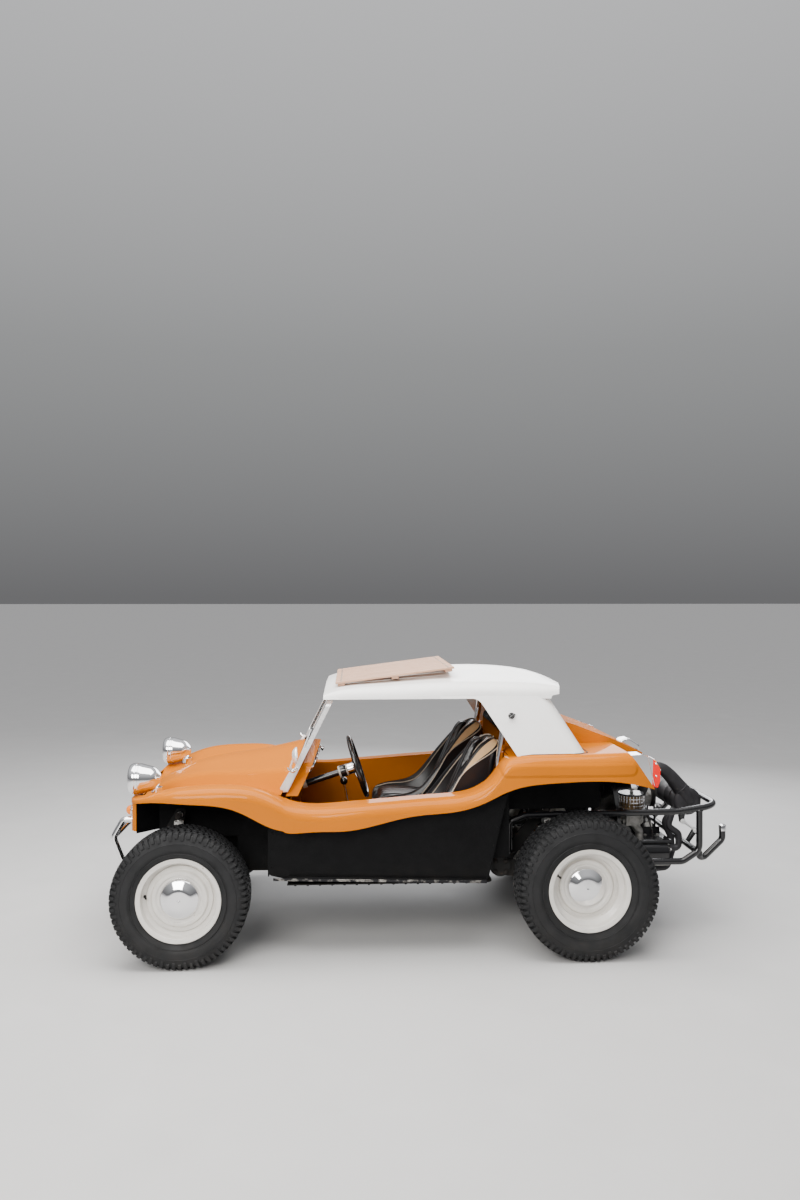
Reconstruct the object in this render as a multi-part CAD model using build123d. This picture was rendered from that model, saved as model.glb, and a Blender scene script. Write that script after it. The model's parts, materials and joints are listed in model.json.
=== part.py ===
from build123d import *
from math import acos, cos, hypot, radians, sin, tan
import os

# Dune buggy: a moulded open body with a hard top on a shortened floor pan, with an
# open air-cooled flat engine behind the rear axle. Millimetres, +Z up, nose at -X.
# Every X below is counted from the front axle; CENTRE_X moves the origin to the
# ground under the middle of the car when a piece is written.

# Driving dimensions
WHEELBASE = 2032
FRONT_TYRE_R = 340
REAR_TYRE_R = 356
FRONT_TYRE_W = 212
REAR_TYRE_W = 250
WHEEL_FACE_Y = 780        # outer face of both rims' flanges
TYRE_BULGE = 12           # side wall beyond the rim flange
RIM_SEAT_R = 190          # bead seat of a 15 inch rim
RIM_FLANGE_R = RIM_SEAT_R + 18
RIM_WELL_R = RIM_SEAT_R - 25
RIM_GAUGE = 5
FRONT_DISH = 50
REAR_DISH = 90
HUBCAP_R = 102
HUBCAP_RISE = 36

WALL = 6                  # moulded body wall
SHEET = 5                 # flat panels and floor
SEAT_GAP = 0.3            # clearance between pieces that only rest on each other
FIT = 0.05                # radial running clearance of a pin or shaft

BUMPER_X = -405           # foremost tube of the front bumper
BUMPER_R = 16
STUB_X = 2838             # upright of the capped stubs at the tail
CAGE_R = 17
CENTRE_X = (BUMPER_X - BUMPER_R + STUB_X + CAGE_R) / 2

LIP_Y = 742               # outer lip of the wings
COCKPIT_Y = 595           # outer face of the cockpit walls
FOOTWELL_Y = 385
BULKHEAD_X = 1650         # rear face of the cockpit
DECK_Y = 350              # half width of the raised rear deck
SIDE_PANEL_Y = 655
FLOOR_Z = 372             # underside of the floor pan
PANEL_FOOT_Z = 388
WING_ROLL = 58            # radius of the rolled shoulder of the wings

SCREEN_RAKE = 26.5        # degrees from upright
SCREEN_FOOT = (505, 800)  # x, z of the screen plane at the cowl's corners
COWL_Y = 560
COWL_TOP_Z = 1020
SCREEN_TOP_Z = 1300
FRAME_W = 34
FRAME_D = 26
DASH_D = 62               # depth of the cowl flange and instrument panel

FRONT_AXLE_Z = FRONT_TYRE_R
REAR_AXLE_Z = REAR_TYRE_R
FRONT_WHEEL_Y = WHEEL_FACE_Y + TYRE_BULGE - FRONT_TYRE_W / 2
REAR_WHEEL_Y = WHEEL_FACE_Y + TYRE_BULGE - REAR_TYRE_W / 2
KINGPIN_Y = 540
STEER_ARM = 130           # kingpin to track rod pin
BEAM_X = -140
BEAM_TUBE_R = 25
BEAM_LOW_Z = 385
BEAM_HIGH_Z = 505
BEAM_END_Y = 440
BUMPER_EAR_X = -190
TOW_EYE_R = 11            # vertical hole for a shackle pin
ARM_T = 28
PITMAN_X = -40
PITMAN_Y = -330
TIE_Z = 326

WHEEL_Y = -340            # driver's seat and steering wheel
STEER_X = 877
STEER_Z = 914
STEER_TILT = 18
STEER_RIM_R = 160
COLUMN_R = 17
COLUMN_END = 930          # wheel centre to the steering box along the column

SEAT_W = 470
SEAT_SIDE = 14            # seat to cockpit wall
SEAT_Y = COCKPIT_Y - WALL - SEAT_SIDE - SEAT_W / 2
TORSION_X = 1620
TORSION_Z = 418
TORSION_R = 55
SPRING_PLATE_Y = 508
SPRING_PLATE_T = 8
BRACKET_Z = 476           # top of the torsion tube's brackets
CAGE_Y = 500              # side tubes of the rear cage
ROLL_BAR_X = TORSION_X - 4
ROLL_BAR_R = 18
REAR_SHOCK_Y = 432
REAR_SHOCK_TOP = (WHEELBASE - 152, 696)
REAR_SHOCK_FOOT = (WHEELBASE - 60, REAR_AXLE_Z - 4)
FRONT_SHOCK_Y = 492
FRONT_SHOCK_TOP = (-46, 694)
FRONT_SHOCK_FOOT = (-66, 330)
SHOCK_STUD_R = 8
ENGINE_X = WHEELBASE + 258  # face between gearbox and engine
BANK_Y = 311              # middle of the cylinder heads
CASE_HALF = 136           # crankcase over its ribs
PORT_R = 18
INLET_Z = 498             # face of the inlet port on each head


def ring(corners, place):
    """Closed wire through (u, v, radius) corners, with a tangent arc at each radius."""
    runs = []
    count = len(corners)
    for i in range(count):
        u, v, r = corners[i]
        pu, pv, _ = corners[i - 1]
        nu, nv, _ = corners[(i + 1) % count]
        if r <= 0:
            runs.append(((u, v), None, (u, v)))
            continue
        back = hypot(pu - u, pv - v)
        ahead = hypot(nu - u, nv - v)
        bu, bv = (pu - u) / back, (pv - v) / back
        au, av = (nu - u) / ahead, (nv - v) / ahead
        half = acos(max(-1, min(1, bu * au + bv * av))) / 2
        reach = r / tan(half)
        mid = hypot(bu + au, bv + av)
        centre = r / sin(half)
        cu, cv = u + (bu + au) / mid * centre, v + (bv + av) / mid * centre
        nose = (centre - r) / mid
        runs.append((
            (u + bu * reach, v + bv * reach),
            (u + (bu + au) * nose, v + (bv + av) * nose),
            (u + au * reach, v + av * reach),
        ))
    edges = []
    for i in range(count):
        start, mid, end = runs[i]
        if mid:
            edges.append(ThreePointArc(place(*start), place(*mid), place(*end)))
        nxt = runs[(i + 1) % count][0]
        if hypot(nxt[0] - end[0], nxt[1] - end[1]) > 0.01:
            edges.append(Line(place(*end), place(*nxt)))
    return Wire(edges)


def prism_y(corners, y0, y1):
    """Side-view outline (x, z, radius) carried across the car from y0 to y1."""
    return extrude(Face(ring(corners, lambda u, v: (u, y0, v))), y1 - y0, (0, 1, 0))


def prism_z(corners, z0, z1):
    """Plan outline (x, y, radius) raised from z0 to z1."""
    return extrude(Face(ring(corners, lambda u, v: (u, v, z0))), z1 - z0, (0, 0, 1))


def prism_x(corners, x0, x1):
    """Front-view outline (y, z, radius) carried along the car from x0 to x1."""
    return extrude(Face(ring(corners, lambda u, v: (x0, u, v))), x1 - x0, (1, 0, 0))


def block(x0, x1, y0, y1, z0, z1):
    return Pos((x0 + x1) / 2, (y0 + y1) / 2, (z0 + z1) / 2) * Box(x1 - x0, y1 - y0, z1 - z0)


def rod(start, end, radius):
    """Round bar between two points."""
    a, b = Vector(*start), Vector(*end)
    line = Line(a, b)
    return sweep(Plane(origin=a, z_dir=b - a) * Circle(radius), path=line)


def bent_rod(points, bends, radius):
    """Round bar along straight runs joined by tangent arcs."""
    path = FilletPolyline(*points, radius=bends)
    plane = Plane(origin=path @ 0, z_dir=path % 0)
    return sweep(plane * Circle(radius), path=path)


def turned(corners, x, z):
    """Outline (radius, y, fillet) turned about the axle line at x, z."""
    face = Face(ring(corners, lambda u, v: (x + u, v, z)))
    return revolve(face, Axis((x, 0, z), (0, 1, 0)))


def turned_x(corners, x, y, z):
    """Outline (radius, x, fillet) turned about a line along the car."""
    face = Face(ring(corners, lambda u, v: (x + v, y, z + u)))
    return revolve(face, Axis((x, y, z), (1, 0, 0)))


def ball(x, y, z, radius):
    return Pos(x, y, z) * Sphere(radius)


def mirrored(shape):
    return mirror(shape, Plane.XZ)


def write(name, shape):
    """Write one piece in the car's frame."""
    export_step(Pos(-CENTRE_X, 0, 0) * shape, f"parts/{name}.step")


def write_pair(name, right_shape):
    write(f"{name}_right", right_shape)
    write(f"{name}_left", mirrored(right_shape))


def screen_x(z):
    """X of the windscreen plane at a height."""
    return SCREEN_FOOT[0] + (z - SCREEN_FOOT[1]) * tan(radians(SCREEN_RAKE))


def screen_slab(front, back):
    """Slab along the raked windscreen plane, between two distances behind it."""
    low, high = 300, 1500
    return prism_y(
        [(screen_x(low) + front, low, 0), (screen_x(high) + front, high, 0),
         (screen_x(high) + back, high, 0), (screen_x(low) + back, low, 0)],
        -800, 800,
    )


# Sections of the wing mouldings along the car: the skin climbs from the valley beside the
# bonnet to its crest, rolls over and drops to the lip.
# Columns: x, inner y, lip y, valley z, crest z, lip z, roll radius
FRONT_WING = [
    (-292, 205, 455, 738, 782, 762, 12),
    (-255, 218, 590, 748, 797, 779, 14),
    (-190, 240, 668, 768, 820, 797, 20),
    (-90, 278, 722, 790, 853, 808, 36),
    (40, 325, LIP_Y, 812, 874, 803, 54),
    (200, 392, LIP_Y, 826, 880, 789, WING_ROLL),
    (300, 438, LIP_Y, 828, 876, 757, WING_ROLL),
    (400, 486, LIP_Y, 818, 854, 704, WING_ROLL),
    (505, COWL_Y, LIP_Y, 793, 803, 667, WING_ROLL),
]
# Columns: x, inner y, lip y, crest z, lip z, roll radius
FLANK = [
    (505, COCKPIT_Y, LIP_Y, 803, 667, WING_ROLL),
    (600, COCKPIT_Y, LIP_Y, 776, 657, WING_ROLL),
    (740, COCKPIT_Y, LIP_Y, 774, 661, WING_ROLL),
    (1000, COCKPIT_Y, LIP_Y, 794, 699, WING_ROLL),
    (1300, COCKPIT_Y, LIP_Y, 816, 745, WING_ROLL),
    (1450, COCKPIT_Y, LIP_Y, 838, 772, WING_ROLL),
    (1540, COCKPIT_Y, LIP_Y, 890, 808, WING_ROLL),
    (1600, COCKPIT_Y, LIP_Y, 968, 838, WING_ROLL),
    (1652, COCKPIT_Y, LIP_Y, 1012, 858, WING_ROLL),
]
REAR_WING = [
    (1652, DECK_Y, LIP_Y, 1012, 858, WING_ROLL),
    (1760, DECK_Y, LIP_Y, 1024, 881, WING_ROLL),
    (1950, DECK_Y, LIP_Y, 1026, 894, WING_ROLL),
    (2150, DECK_Y, LIP_Y, 1030, 894, WING_ROLL),
    (2290, DECK_Y, 728, 1032, 872, WING_ROLL),
    (2430, DECK_Y, 668, 1030, 830, WING_ROLL),
]
TAIL_TOP = (2250, 1032)
TAIL_FOOT = (2392, 836)


def tail_x(z, back=0.0):
    """X of the slanted tail plane at a height, moved back square to the plane."""
    (tx, tz), (fx, fz) = TAIL_TOP, TAIL_FOOT
    return tx + (tz - z) * (fx - tx) / (tz - fz) + back * hypot(fx - tx, tz - fz) / (tz - fz)


def crest_y(inner_y, lip_y):
    """Inner end of the front wing's level crest."""
    return lip_y - max(WING_ROLL + 22, min(108, 0.32 * (lip_y - inner_y)))


def front_wing_section(x, inner_y, lip_y, valley_z, crest_z, lip_z, roll):
    """Thin section of the front wing across the car."""
    top = crest_y(inner_y, lip_y)
    skin = [
        (inner_y, valley_z, 0), (top, crest_z, 70), (lip_y, crest_z, roll), (lip_y, lip_z, 0),
        (lip_y - WALL, lip_z, 0), (lip_y - WALL, crest_z - WALL, roll - WALL),
        (top, crest_z - WALL, 70), (inner_y, valley_z - WALL, 0),
    ]
    return Face(ring(skin, lambda u, v: (x, u, v)))


def front_wing_core(lift, side=0.0):
    """Solid under the front wing's outer face, raised by lift and moved inwards by side."""
    def section(x, inner_y, lip_y, valley_z, crest_z, lip_z, roll):
        edge = [(inner_y - side, 600, 0), (inner_y - side, valley_z + lift, 0),
                (crest_y(inner_y, lip_y), crest_z + lift, 70), (lip_y, crest_z + lift, roll), (lip_y, 600, 0)]
        return Face(ring(edge, lambda u, v: (x, u, v)))
    return loft([section(*row) for row in FRONT_WING])


def wing_section(x, inner_y, lip_y, crest_z, lip_z, roll):
    """Thin section of the wing across the car."""
    skin = [
        (inner_y, crest_z, 0), (lip_y, crest_z, roll), (lip_y, lip_z, 0),
        (lip_y - WALL, lip_z, 0), (lip_y - WALL, crest_z - WALL, roll - WALL), (inner_y, crest_z - WALL, 0),
    ]
    return Face(ring(skin, lambda u, v: (x, u, v)))


def rear_wing():
    """Right-hand rear wing shell."""
    return loft([wing_section(*row) for row in REAR_WING])


def rear_wing_core(drop):
    """Solid under the rear wing's outer face, lowered by drop."""
    def section(x, inner_y, lip_y, crest_z, lip_z, roll):
        edge = [(inner_y - 20, 500, 0), (inner_y - 20, crest_z - drop, 0), (lip_y, crest_z - drop, roll),
                (lip_y, 500, 0)]
        return Face(ring(edge, lambda u, v: (x, u, v)))
    return loft([section(*row) for row in REAR_WING])


def tail_core_section(x, inner_y, lip_y, crest_z, lip_z, roll):
    """Filled section just inside the rear wing's outer face."""
    i = WALL / 2
    edge = [(inner_y + 4, lip_z + 30, 0), (inner_y + 4, crest_z - i, 0), (lip_y - i, crest_z - i, roll - i),
            (lip_y - i, lip_z + 30, 0)]
    return Face(ring(edge, lambda u, v: (x, u, v)))


def wing():
    """Right-hand wing moulding from the nose to the slanted tail."""
    front = loft([front_wing_section(*row) for row in FRONT_WING])
    flank = loft([wing_section(*row) for row in FLANK])
    rear = rear_wing()
    behind = prism_y([(tail_x(600), 600, 0), (tail_x(1300), 1300, 0), (2900, 1300, 0), (2900, 600, 0)], 0, 900)
    lining = prism_y([(tail_x(600, -WALL), 600, 0), (tail_x(1300, -WALL), 1300, 0), (tail_x(1300), 1300, 0),
                      (tail_x(600), 600, 0)], 0, 900)
    tail = loft([tail_core_section(*row) for row in REAR_WING]) & lining
    return (front + flank + rear) - behind + tail


# Bonnet sections along the car. Columns: x, half width, foot z, shoulder z, crown z
BONNET = [
    (-286, 208, 730, 741, 750),
    (-190, 244, 762, 802, 818),
    (-90, 282, 784, 845, 866),
    (200, 397, 820, 893, 938),
    (400, 492, 812, 914, 970),
    (700, 636, 762, 940, 1042),
]


def bonnet_section(x, half, foot, shoulder, crown):
    """Thin arched section: feet on the wings, shoulder bends, crown."""
    y, w = half, WALL
    skin = [
        (y, foot, 0), (y * 0.86, shoulder, 60), (0, crown, 900), (-y * 0.86, shoulder, 60), (-y, foot, 0),
        (-y + w, foot, 0), (-y * 0.86 + w, shoulder - w, 60 - w), (0, crown - w, 900),
        (y * 0.86 - w, shoulder - w, 60 - w), (y - w, foot, 0),
    ]
    return Face(ring(skin, lambda u, v: (x, u, v)))


def bonnet():
    """Centre panel from the nose to the windscreen, open below."""
    skin = loft([bonnet_section(*row) for row in BONNET])
    skin = skin - front_wing_core(0, SEAT_GAP) - mirrored(front_wing_core(0, SEAT_GAP))
    return skin - screen_slab(-FRAME_D, 1000)


def nose_panel():
    """Upright panel below the bonnet, curved in plan, its top edge following the mouldings."""
    face, side = -298, 462
    back = face + WALL
    outer = prism_z([(face, -side, 50), (face, side, 50), (-266, 488, 0), (-266, -488, 0)], 612, 900)
    inner = prism_z([(back, -side + 4, 44), (back, side - 4, 44), (-256, 486, 0), (-256, -486, 0)], 600, 920)
    front = prism_x(
        [(-600, 560, 0), (-600, 755, 0), (-440, 755, 0), (-430, 778, 0), (-212, 778, 0), (-204, 744, 0), (0, 750, 0),
         (204, 744, 0), (212, 778, 0), (430, 778, 0), (440, 755, 0), (600, 755, 0), (600, 560, 0)],
        -340, -244)
    return (outer - inner) & front


def cockpit():
    """Cockpit walls: footwell, sides and rear bulkhead, with the floor left open."""
    base = FLOOR_Z + SHEET + SEAT_GAP
    plan = [
        (240, -FOOTWELL_Y, 0), (520, -FOOTWELL_Y, 0), (520, -COCKPIT_Y + SEAT_GAP, 0),
        (BULKHEAD_X, -COCKPIT_Y + SEAT_GAP, 0), (BULKHEAD_X, COCKPIT_Y - SEAT_GAP, 0),
        (520, COCKPIT_Y - SEAT_GAP, 0), (520, FOOTWELL_Y, 0), (240, FOOTWELL_Y, 0),
    ]
    inner_y = COCKPIT_Y - SEAT_GAP - WALL
    inner = [
        (240 + WALL, -FOOTWELL_Y + WALL, 0), (520 + WALL, -FOOTWELL_Y + WALL, 0),
        (520 + WALL, -inner_y, 0), (BULKHEAD_X - WALL, -inner_y, 0),
        (BULKHEAD_X - WALL, inner_y, 0), (520 + WALL, inner_y, 0),
        (520 + WALL, FOOTWELL_Y - WALL, 0), (240 + WALL, FOOTWELL_Y - WALL, 0),
    ]
    tub = prism_z(plan, base, 1160) - prism_z(inner, base - 10, 1200)
    edge = [(x, z - WALL - SEAT_GAP, 0) for x, _, _, z, _, _ in FLANK[1:]]
    sky = prism_y([(100, 590, 0), (480, 760, 0)] + edge + [(1700, 1020, 0), (1700, 1300, 0), (100, 1300, 0)],
                  -700, 700)
    over_tube = prism_y([(TORSION_X - 75, 300, 0), (TORSION_X - 75, TORSION_Z + 62, 30), (1700, TORSION_Z + 62, 0),
                         (1700, 300, 0)], -700, 700)
    return tub - sky - over_tube - tunnel_solid(SEAT_GAP)


def deck_core(grow):
    """Solid form of the raised deck, grown or shrunk."""
    y, g = DECK_Y - SEAT_GAP + grow, grow
    side = prism_y([(1652, 800, 0), (1652, 1150 + g, 60 + g), (2000, 1150 + g, 260), (2290, 1040 + g, 300),
                    (2462 + g, 958 + g, 40), (2496 + g, 880, 0), (2480, 800, 0)], -y, y)
    plan = prism_z([(1600, -y, 0), (2220, -y, 160), (2520 + g, -230, 60), (2520 + g, 230, 60), (2220, y, 160),
                    (1600, y, 0)], 780, 1300)
    return side & plan


def rear_deck():
    """Raised centre deck behind the cockpit, sloping down to the tail, open below."""
    return (deck_core(0) & block(1600, 2600, -400, 400, 900, 1300)) - deck_core(-WALL)


def dashboard():
    """Cowl flange behind the windscreen and the instrument panel under it."""
    face = [
        (-COWL_Y + 8, 800, 0), (-COWL_Y * 0.84, 940, 120), (0, COWL_TOP_Z - 12, 900),
        (COWL_Y * 0.84, 940, 120), (COWL_Y - 8, 800, 0),
        (COWL_Y - 60, 800, 0), (COWL_Y * 0.74, 850, 60), (-COWL_Y * 0.74, 850, 60), (-COWL_Y + 60, 800, 0),
    ]
    board = prism_x(face, 380, 900)
    column = rod(steer_point(0), steer_point(COLUMN_END), COLUMN_R + SEAT_GAP)
    return (board & screen_slab(SEAT_GAP, SEAT_GAP + DASH_D)) - column


def tunnel_solid(grow):
    """Backbone tunnel from the front beam to the torsion tube."""
    g = grow
    return prism_x([(-75 - g, FLOOR_Z - 8, 0), (-60 - g, 500 + g, 35), (60 + g, 500 + g, 35), (75 + g, FLOOR_Z - 8, 0)],
                   BEAM_X + BEAM_TUBE_R + SEAT_GAP, TORSION_X)


def floor_pan():
    """Flat pan with the backbone tunnel, rear torsion tube, gearbox horns and brackets."""
    tail, tx = TORSION_X - 60, TORSION_X
    plan = [
        (246, -FOOTWELL_Y, 0), (520, -FOOTWELL_Y, 0), (520, -SIDE_PANEL_Y, 0), (tail, -SIDE_PANEL_Y, 40),
        (tail, SIDE_PANEL_Y, 40), (520, SIDE_PANEL_Y, 0), (520, FOOTWELL_Y, 0), (246, FOOTWELL_Y, 0),
    ]
    tube_end = SPRING_PLATE_Y - SEAT_GAP
    pan = prism_z(plan, FLOOR_Z, FLOOR_Z + SHEET) + tunnel_solid(0)
    pan = pan + rod((tx, -tube_end, TORSION_Z), (tx, tube_end, TORSION_Z), TORSION_R)
    sx, sz = REAR_SHOCK_TOP
    horn = bent_rod([(tx, 60, TORSION_Z), (tx + 140, 190, 430), (WHEELBASE + 28, 200, 440)], [120], 24)
    pad = block(tx - 26, tx + 72, CAGE_Y - 30, CAGE_Y + 4, TORSION_Z, BRACKET_Z)
    tower = prism_y([(tx + 20, 430, 0), (tx + 35, BRACKET_Z - 6, 0), (sx - 22, sz + 16, 14), (sx + 20, sz + 16, 14),
                     (sx + 20, sz - 16, 10), (tx + 70, 400, 0)], 393, 403)
    stud = rod((sx, 398, sz), (sx, REAR_SHOCK_Y + 20, sz), SHOCK_STUD_R)
    for piece in (horn, pad, tower, stud):
        pan = pan + piece + mirrored(piece)
    return pan


def side_panel():
    """Right-hand black panel between the wheels, its sill, and the liners of both wheel arches."""
    y, outer = SIDE_PANEL_Y + SEAT_GAP, SIDE_PANEL_Y + SEAT_GAP + SHEET
    foot, lean = PANEL_FOOT_Z, (1636 - 1534) / (820 - PANEL_FOOT_Z)
    skin = prism_y([(430, 426, 20), (530, 404, 100), (1534, foot - 12, 20), (1636, 820, 0), (1440, 762, 200),
                    (760, 648, 300), (500, 648, 120), (430, 676, 0)], y, outer)
    sill = prism_y([(530, 402, 0), (1528, foot - 14, 0), (1528, foot + 8, 0), (530, 424, 0)], y, y + 20)
    step = prism_z([(430, outer, 0), (424, outer, 0), (424, FOOTWELL_Y + SEAT_GAP, 0), (430, FOOTWELL_Y + SEAT_GAP, 0)],
                   420, 690)
    liner_y = FOOTWELL_Y + SEAT_GAP
    front = prism_y([(-168, 600, 0), (-168, 778, 0), (-90, 797, 0), (40, 811, 0), (200, 810, 0), (300, 804, 0),
                     (430, 780, 0), (430, 560, 0), (-120, 560, 30)], liner_y, liner_y + SHEET)
    splash = prism_z([(-265.5, 487, 0), (-168, liner_y + SHEET, 0), (-168, liner_y, 0), (-172, liner_y, 0),
                      (-265.5, 480, 0)], 602, 756)
    inner = COCKPIT_Y
    back = BULKHEAD_X + SEAT_GAP + 4
    slant = prism_y([(1534, foot, 0), (1636, 820, 0), (1636 - 5, 820, 0), (1534 - 5, foot, 0)], inner, outer)
    slant = slant - prism_y([(1300, 300, 0), (1700, 300, 0), (1700, 484, 0), (1300, 484, 0)], 0, 640)
    cheek = prism_y([(1548, 484, 0), (back, 484, 0), (back, 1000, 0), (1600, 954, 0), (1548, 884, 0)],
                    inner, inner + SHEET)
    wall = block(BULKHEAD_X + SEAT_GAP, back, 465, inner + SHEET, 484, 1000)
    rear = prism_y([(BULKHEAD_X + SEAT_GAP, 702, 0), (2160, 702, 20), (2160, 1000, 40),
                    (BULKHEAD_X + SEAT_GAP, 1000, 0)], 465, 465 + SHEET)
    return skin + sill + step + front + splash + slant + cheek + wall + rear


def screen_light(edge):
    """Daylight opening of the windscreen, moved in from the frame's outline by edge."""
    y = COWL_Y + 6 - edge
    return prism_x(
        [(-y, 951 + edge, 20), (-y, SCREEN_TOP_Z - edge, 20), (y, SCREEN_TOP_Z - edge, 20), (y, 951 + edge, 20),
         (0, COWL_TOP_Z + 16 + edge, 900)], 200, 1000)


def screen_frame():
    """Windscreen frame in the raked plane with its foot brackets and the driver's mirror."""
    y, foot = COWL_Y + 6, SCREEN_FOOT[1] + 24
    outline = prism_x(
        [(-y, foot, 0), (-y, SCREEN_TOP_Z, 45), (y, SCREEN_TOP_Z, 45), (y, foot, 0), (y - 46, foot, 0),
         (COWL_Y * 0.84, 955, 120), (0, COWL_TOP_Z + 6, 900), (-COWL_Y * 0.84, 955, 120), (-y + 46, foot, 0)],
        300, 900)
    groove = screen_light(FRAME_W - 8) & screen_slab(-FRAME_D / 2 - 3.2, -FRAME_D / 2 + 3.2)
    frame = (outline & screen_slab(-FRAME_D + SEAT_GAP, 0)) - screen_light(FRAME_W) - groove
    for side in (-1, 1):
        low, high = sorted((side * (y - 4), side * (y + 8)))
        bracket = prism_y([(screen_x(830) - 46, 838, 8), (screen_x(930) - 44, 930, 18), (screen_x(960) - 6, 962, 10),
                           (screen_x(830) - 4, 830, 4)], low, high)
        frame = frame + bracket + rod((screen_x(925) - 26, side * (y - 2), 925), (screen_x(925) - 26, side * (y + 22), 925), 15)
    mx, my, mz = 556, -628, 1021
    head = turned_x([(0, -14, 0), (26, -12, 30), (42, 4, 10), (43, 12, 2), (0, 12, 0)], mx, my, mz)
    stay = bent_rod([(screen_x(925) - 26, -y - 14, 925), (screen_x(925) - 34, -y - 40, 960), (mx - 4, my, mz - 10)], [30], 6)
    return frame + head + stay


def screen_glass():
    """Flat laminated pane held in the frame's groove."""
    return screen_light(FRAME_W - 7.7) & screen_slab(-FRAME_D / 2 - 3, -FRAME_D / 2 + 3)


# Hard top roof sections along the car.
# Columns: x, half width, shoulder z, crown z, shoulder radius
ROOF = [
    (700, 606, 1320, 1338, 14),
    (748, 608, 1337, 1362, 30),
    (1000, 611, 1362, 1393, 60),
    (1250, 612, 1376, 1423, 70),
    (1450, 612, 1380, 1441, 70),
    (1700, 612, 1378, 1432, 70),
    (1850, 611, 1370, 1405, 56),
    (1990, 596, 1340, 1352, 20),
]
ROOF_FOOT_Z = SCREEN_TOP_Z + SEAT_GAP
HOUSE_TOP = (1310, 612, 1864)     # z, half width and rear x of the house under the roof
HOUSE_FOOT = (1000, 695, 2056)
BOARD_PITCH = 7.3                 # degrees that the luggage board rises rearwards
BOARD_FOOT = (760, 1365)
BOARD_LENGTH = 632


def roof_form(inset, start, end):
    """Crowned roof between two rows, shrunk by inset and open to below."""
    def section(x, half, shoulder, crown, bend):
        h, low = half - inset, ROOF_FOOT_Z - (40 if inset else 0)
        edge = [(-h, low, 0), (-h + 8, shoulder - inset, bend), (0, crown - inset, 2600), (h - 8, shoulder - inset, bend),
                (h, low, 0)]
        return Face(ring(edge, lambda u, v: (x, u, v)))
    return loft([section(*row) for row in ROOF[start:end]])


def house_form(inset, low):
    """Solid house under the roof: sides and rear leaning inwards, round rear corners."""
    (tz, th, tr), (fz, fh, fr) = HOUSE_TOP, HOUSE_FOOT

    def plan(z):
        t = (z - tz) / (fz - tz)
        half, rear = th + (fh - th) * t - inset, tr + (fr - tr) * t - inset
        edge = [(1300, -half, 0), (rear, -half, 70 - inset), (rear, half, 70 - inset), (1300, half, 0)]
        return Face(ring(edge, lambda u, v: (u, v, z)))
    return loft([plan(1330), plan(low)])


def rear_light(gap):
    """Outline of the rear window carried along the car."""
    g = gap
    return prism_x([(-400 + g, 1176 + g, 40), (-385 + g, 1290 - g, 40), (385 - g, 1290 - g, 40), (400 - g, 1176 + g, 40)],
                   1800, 2100)


def hardtop():
    """White hard top: crowned roof with its rear lip, raked quarters and rear panel."""
    bow = prism_z([(600, -700, 0), (1880, -700, 0), (1915, -600, 30), (1985, -250, 400), (1985, 250, 400),
                   (1915, 600, 30), (1880, 700, 0), (600, 700, 0)], 1200, 1500)
    under = prism_y([(1872, 1200, 0), (1872, 1316, 14), (1990, 1334, 0), (2100, 1334, 0), (2100, 1200, 0)], -700, 700)
    roof = (roof_form(0, 0, 8) & bow) - under
    hollow = roof_form(WALL, 1, 7) & block(790, 1850, -700, 700, 1200, 1500)
    shell = (roof + house_form(0, 1000)) - hollow - house_form(WALL, 980)
    opening = prism_y([(600, 900, 0), (600, ROOF_FOOT_Z, 0), (1494, ROOF_FOOT_Z + 2, 60), (1692, 1000, 36), (2200, 1004, 0),
                       (2200, 900, 0)], -720, 720)
    wings = rear_wing_core(WALL / 2) + Pos(0, 0, SEAT_GAP) * rear_wing()
    return shell - opening - rear_light(0) - wings - mirrored(wings) - deck_core(SEAT_GAP)


def rear_glass():
    """Pane of the hard top's rear window."""
    return (house_form(1, 1000) - house_form(5, 980)) & rear_light(SEAT_GAP)


def roof_slats():
    """Wooden luggage board on the roof: nine slats on three battens scribed to the roof."""
    slat_w, pitch, count, thick = 92, 103, 9, 9
    board = None
    for x in (30, BOARD_LENGTH / 2, BOARD_LENGTH - 30):
        batten = block(x - 18, x + 18, -450, 450, -14, 0.5)
        board = batten if board is None else board + batten
    for i in range(count):
        y = (i - (count - 1) / 2) * pitch
        board = board + block(0, BOARD_LENGTH, y - slat_w / 2, y + slat_w / 2, 0, thick)
    board = Pos(BOARD_FOOT[0], 0, BOARD_FOOT[1]) * Rot(0, -BOARD_PITCH, 0) * board
    return board - Pos(0, 0, SEAT_GAP) * roof_form(0, 0, 8)


def roll_bar():
    """Main hoop behind the seats, on the torsion tube's brackets, leaning back from the sill."""
    half, x, foot = CAGE_Y - 11, ROLL_BAR_X, BRACKET_Z + SEAT_GAP
    leg = [(x, half, foot), (x, half, 960), (x + 30, half, 1140), (x + 30, half - 70, 1262)]
    far = [(px, -py, pz) for px, py, pz in leg]
    hoop = bent_rod(far + leg[::-1], [300, 70, 70, 70, 70, 300], ROLL_BAR_R)
    for side in (-1, 1):
        hoop = hoop + block(x - 20, x + 22, side * half - 14, side * half + 14, foot, foot + 8)
    return hoop


def seat_taper(inset):
    """Front-view outline of the seat: full width at the cushion, narrow round head."""
    half, top = SEAT_W / 2 - inset, 1078
    return prism_x([(SEAT_Y - half, 300, 0), (SEAT_Y - half, 650, 80), (SEAT_Y - half * 0.5, 945, 80),
                    (SEAT_Y - half * 0.44, top, 50), (SEAT_Y + half * 0.44, top, 50), (SEAT_Y + half * 0.5, 945, 80),
                    (SEAT_Y + half, 650, 80), (SEAT_Y + half, 300, 0)], 900, 1700)


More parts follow.
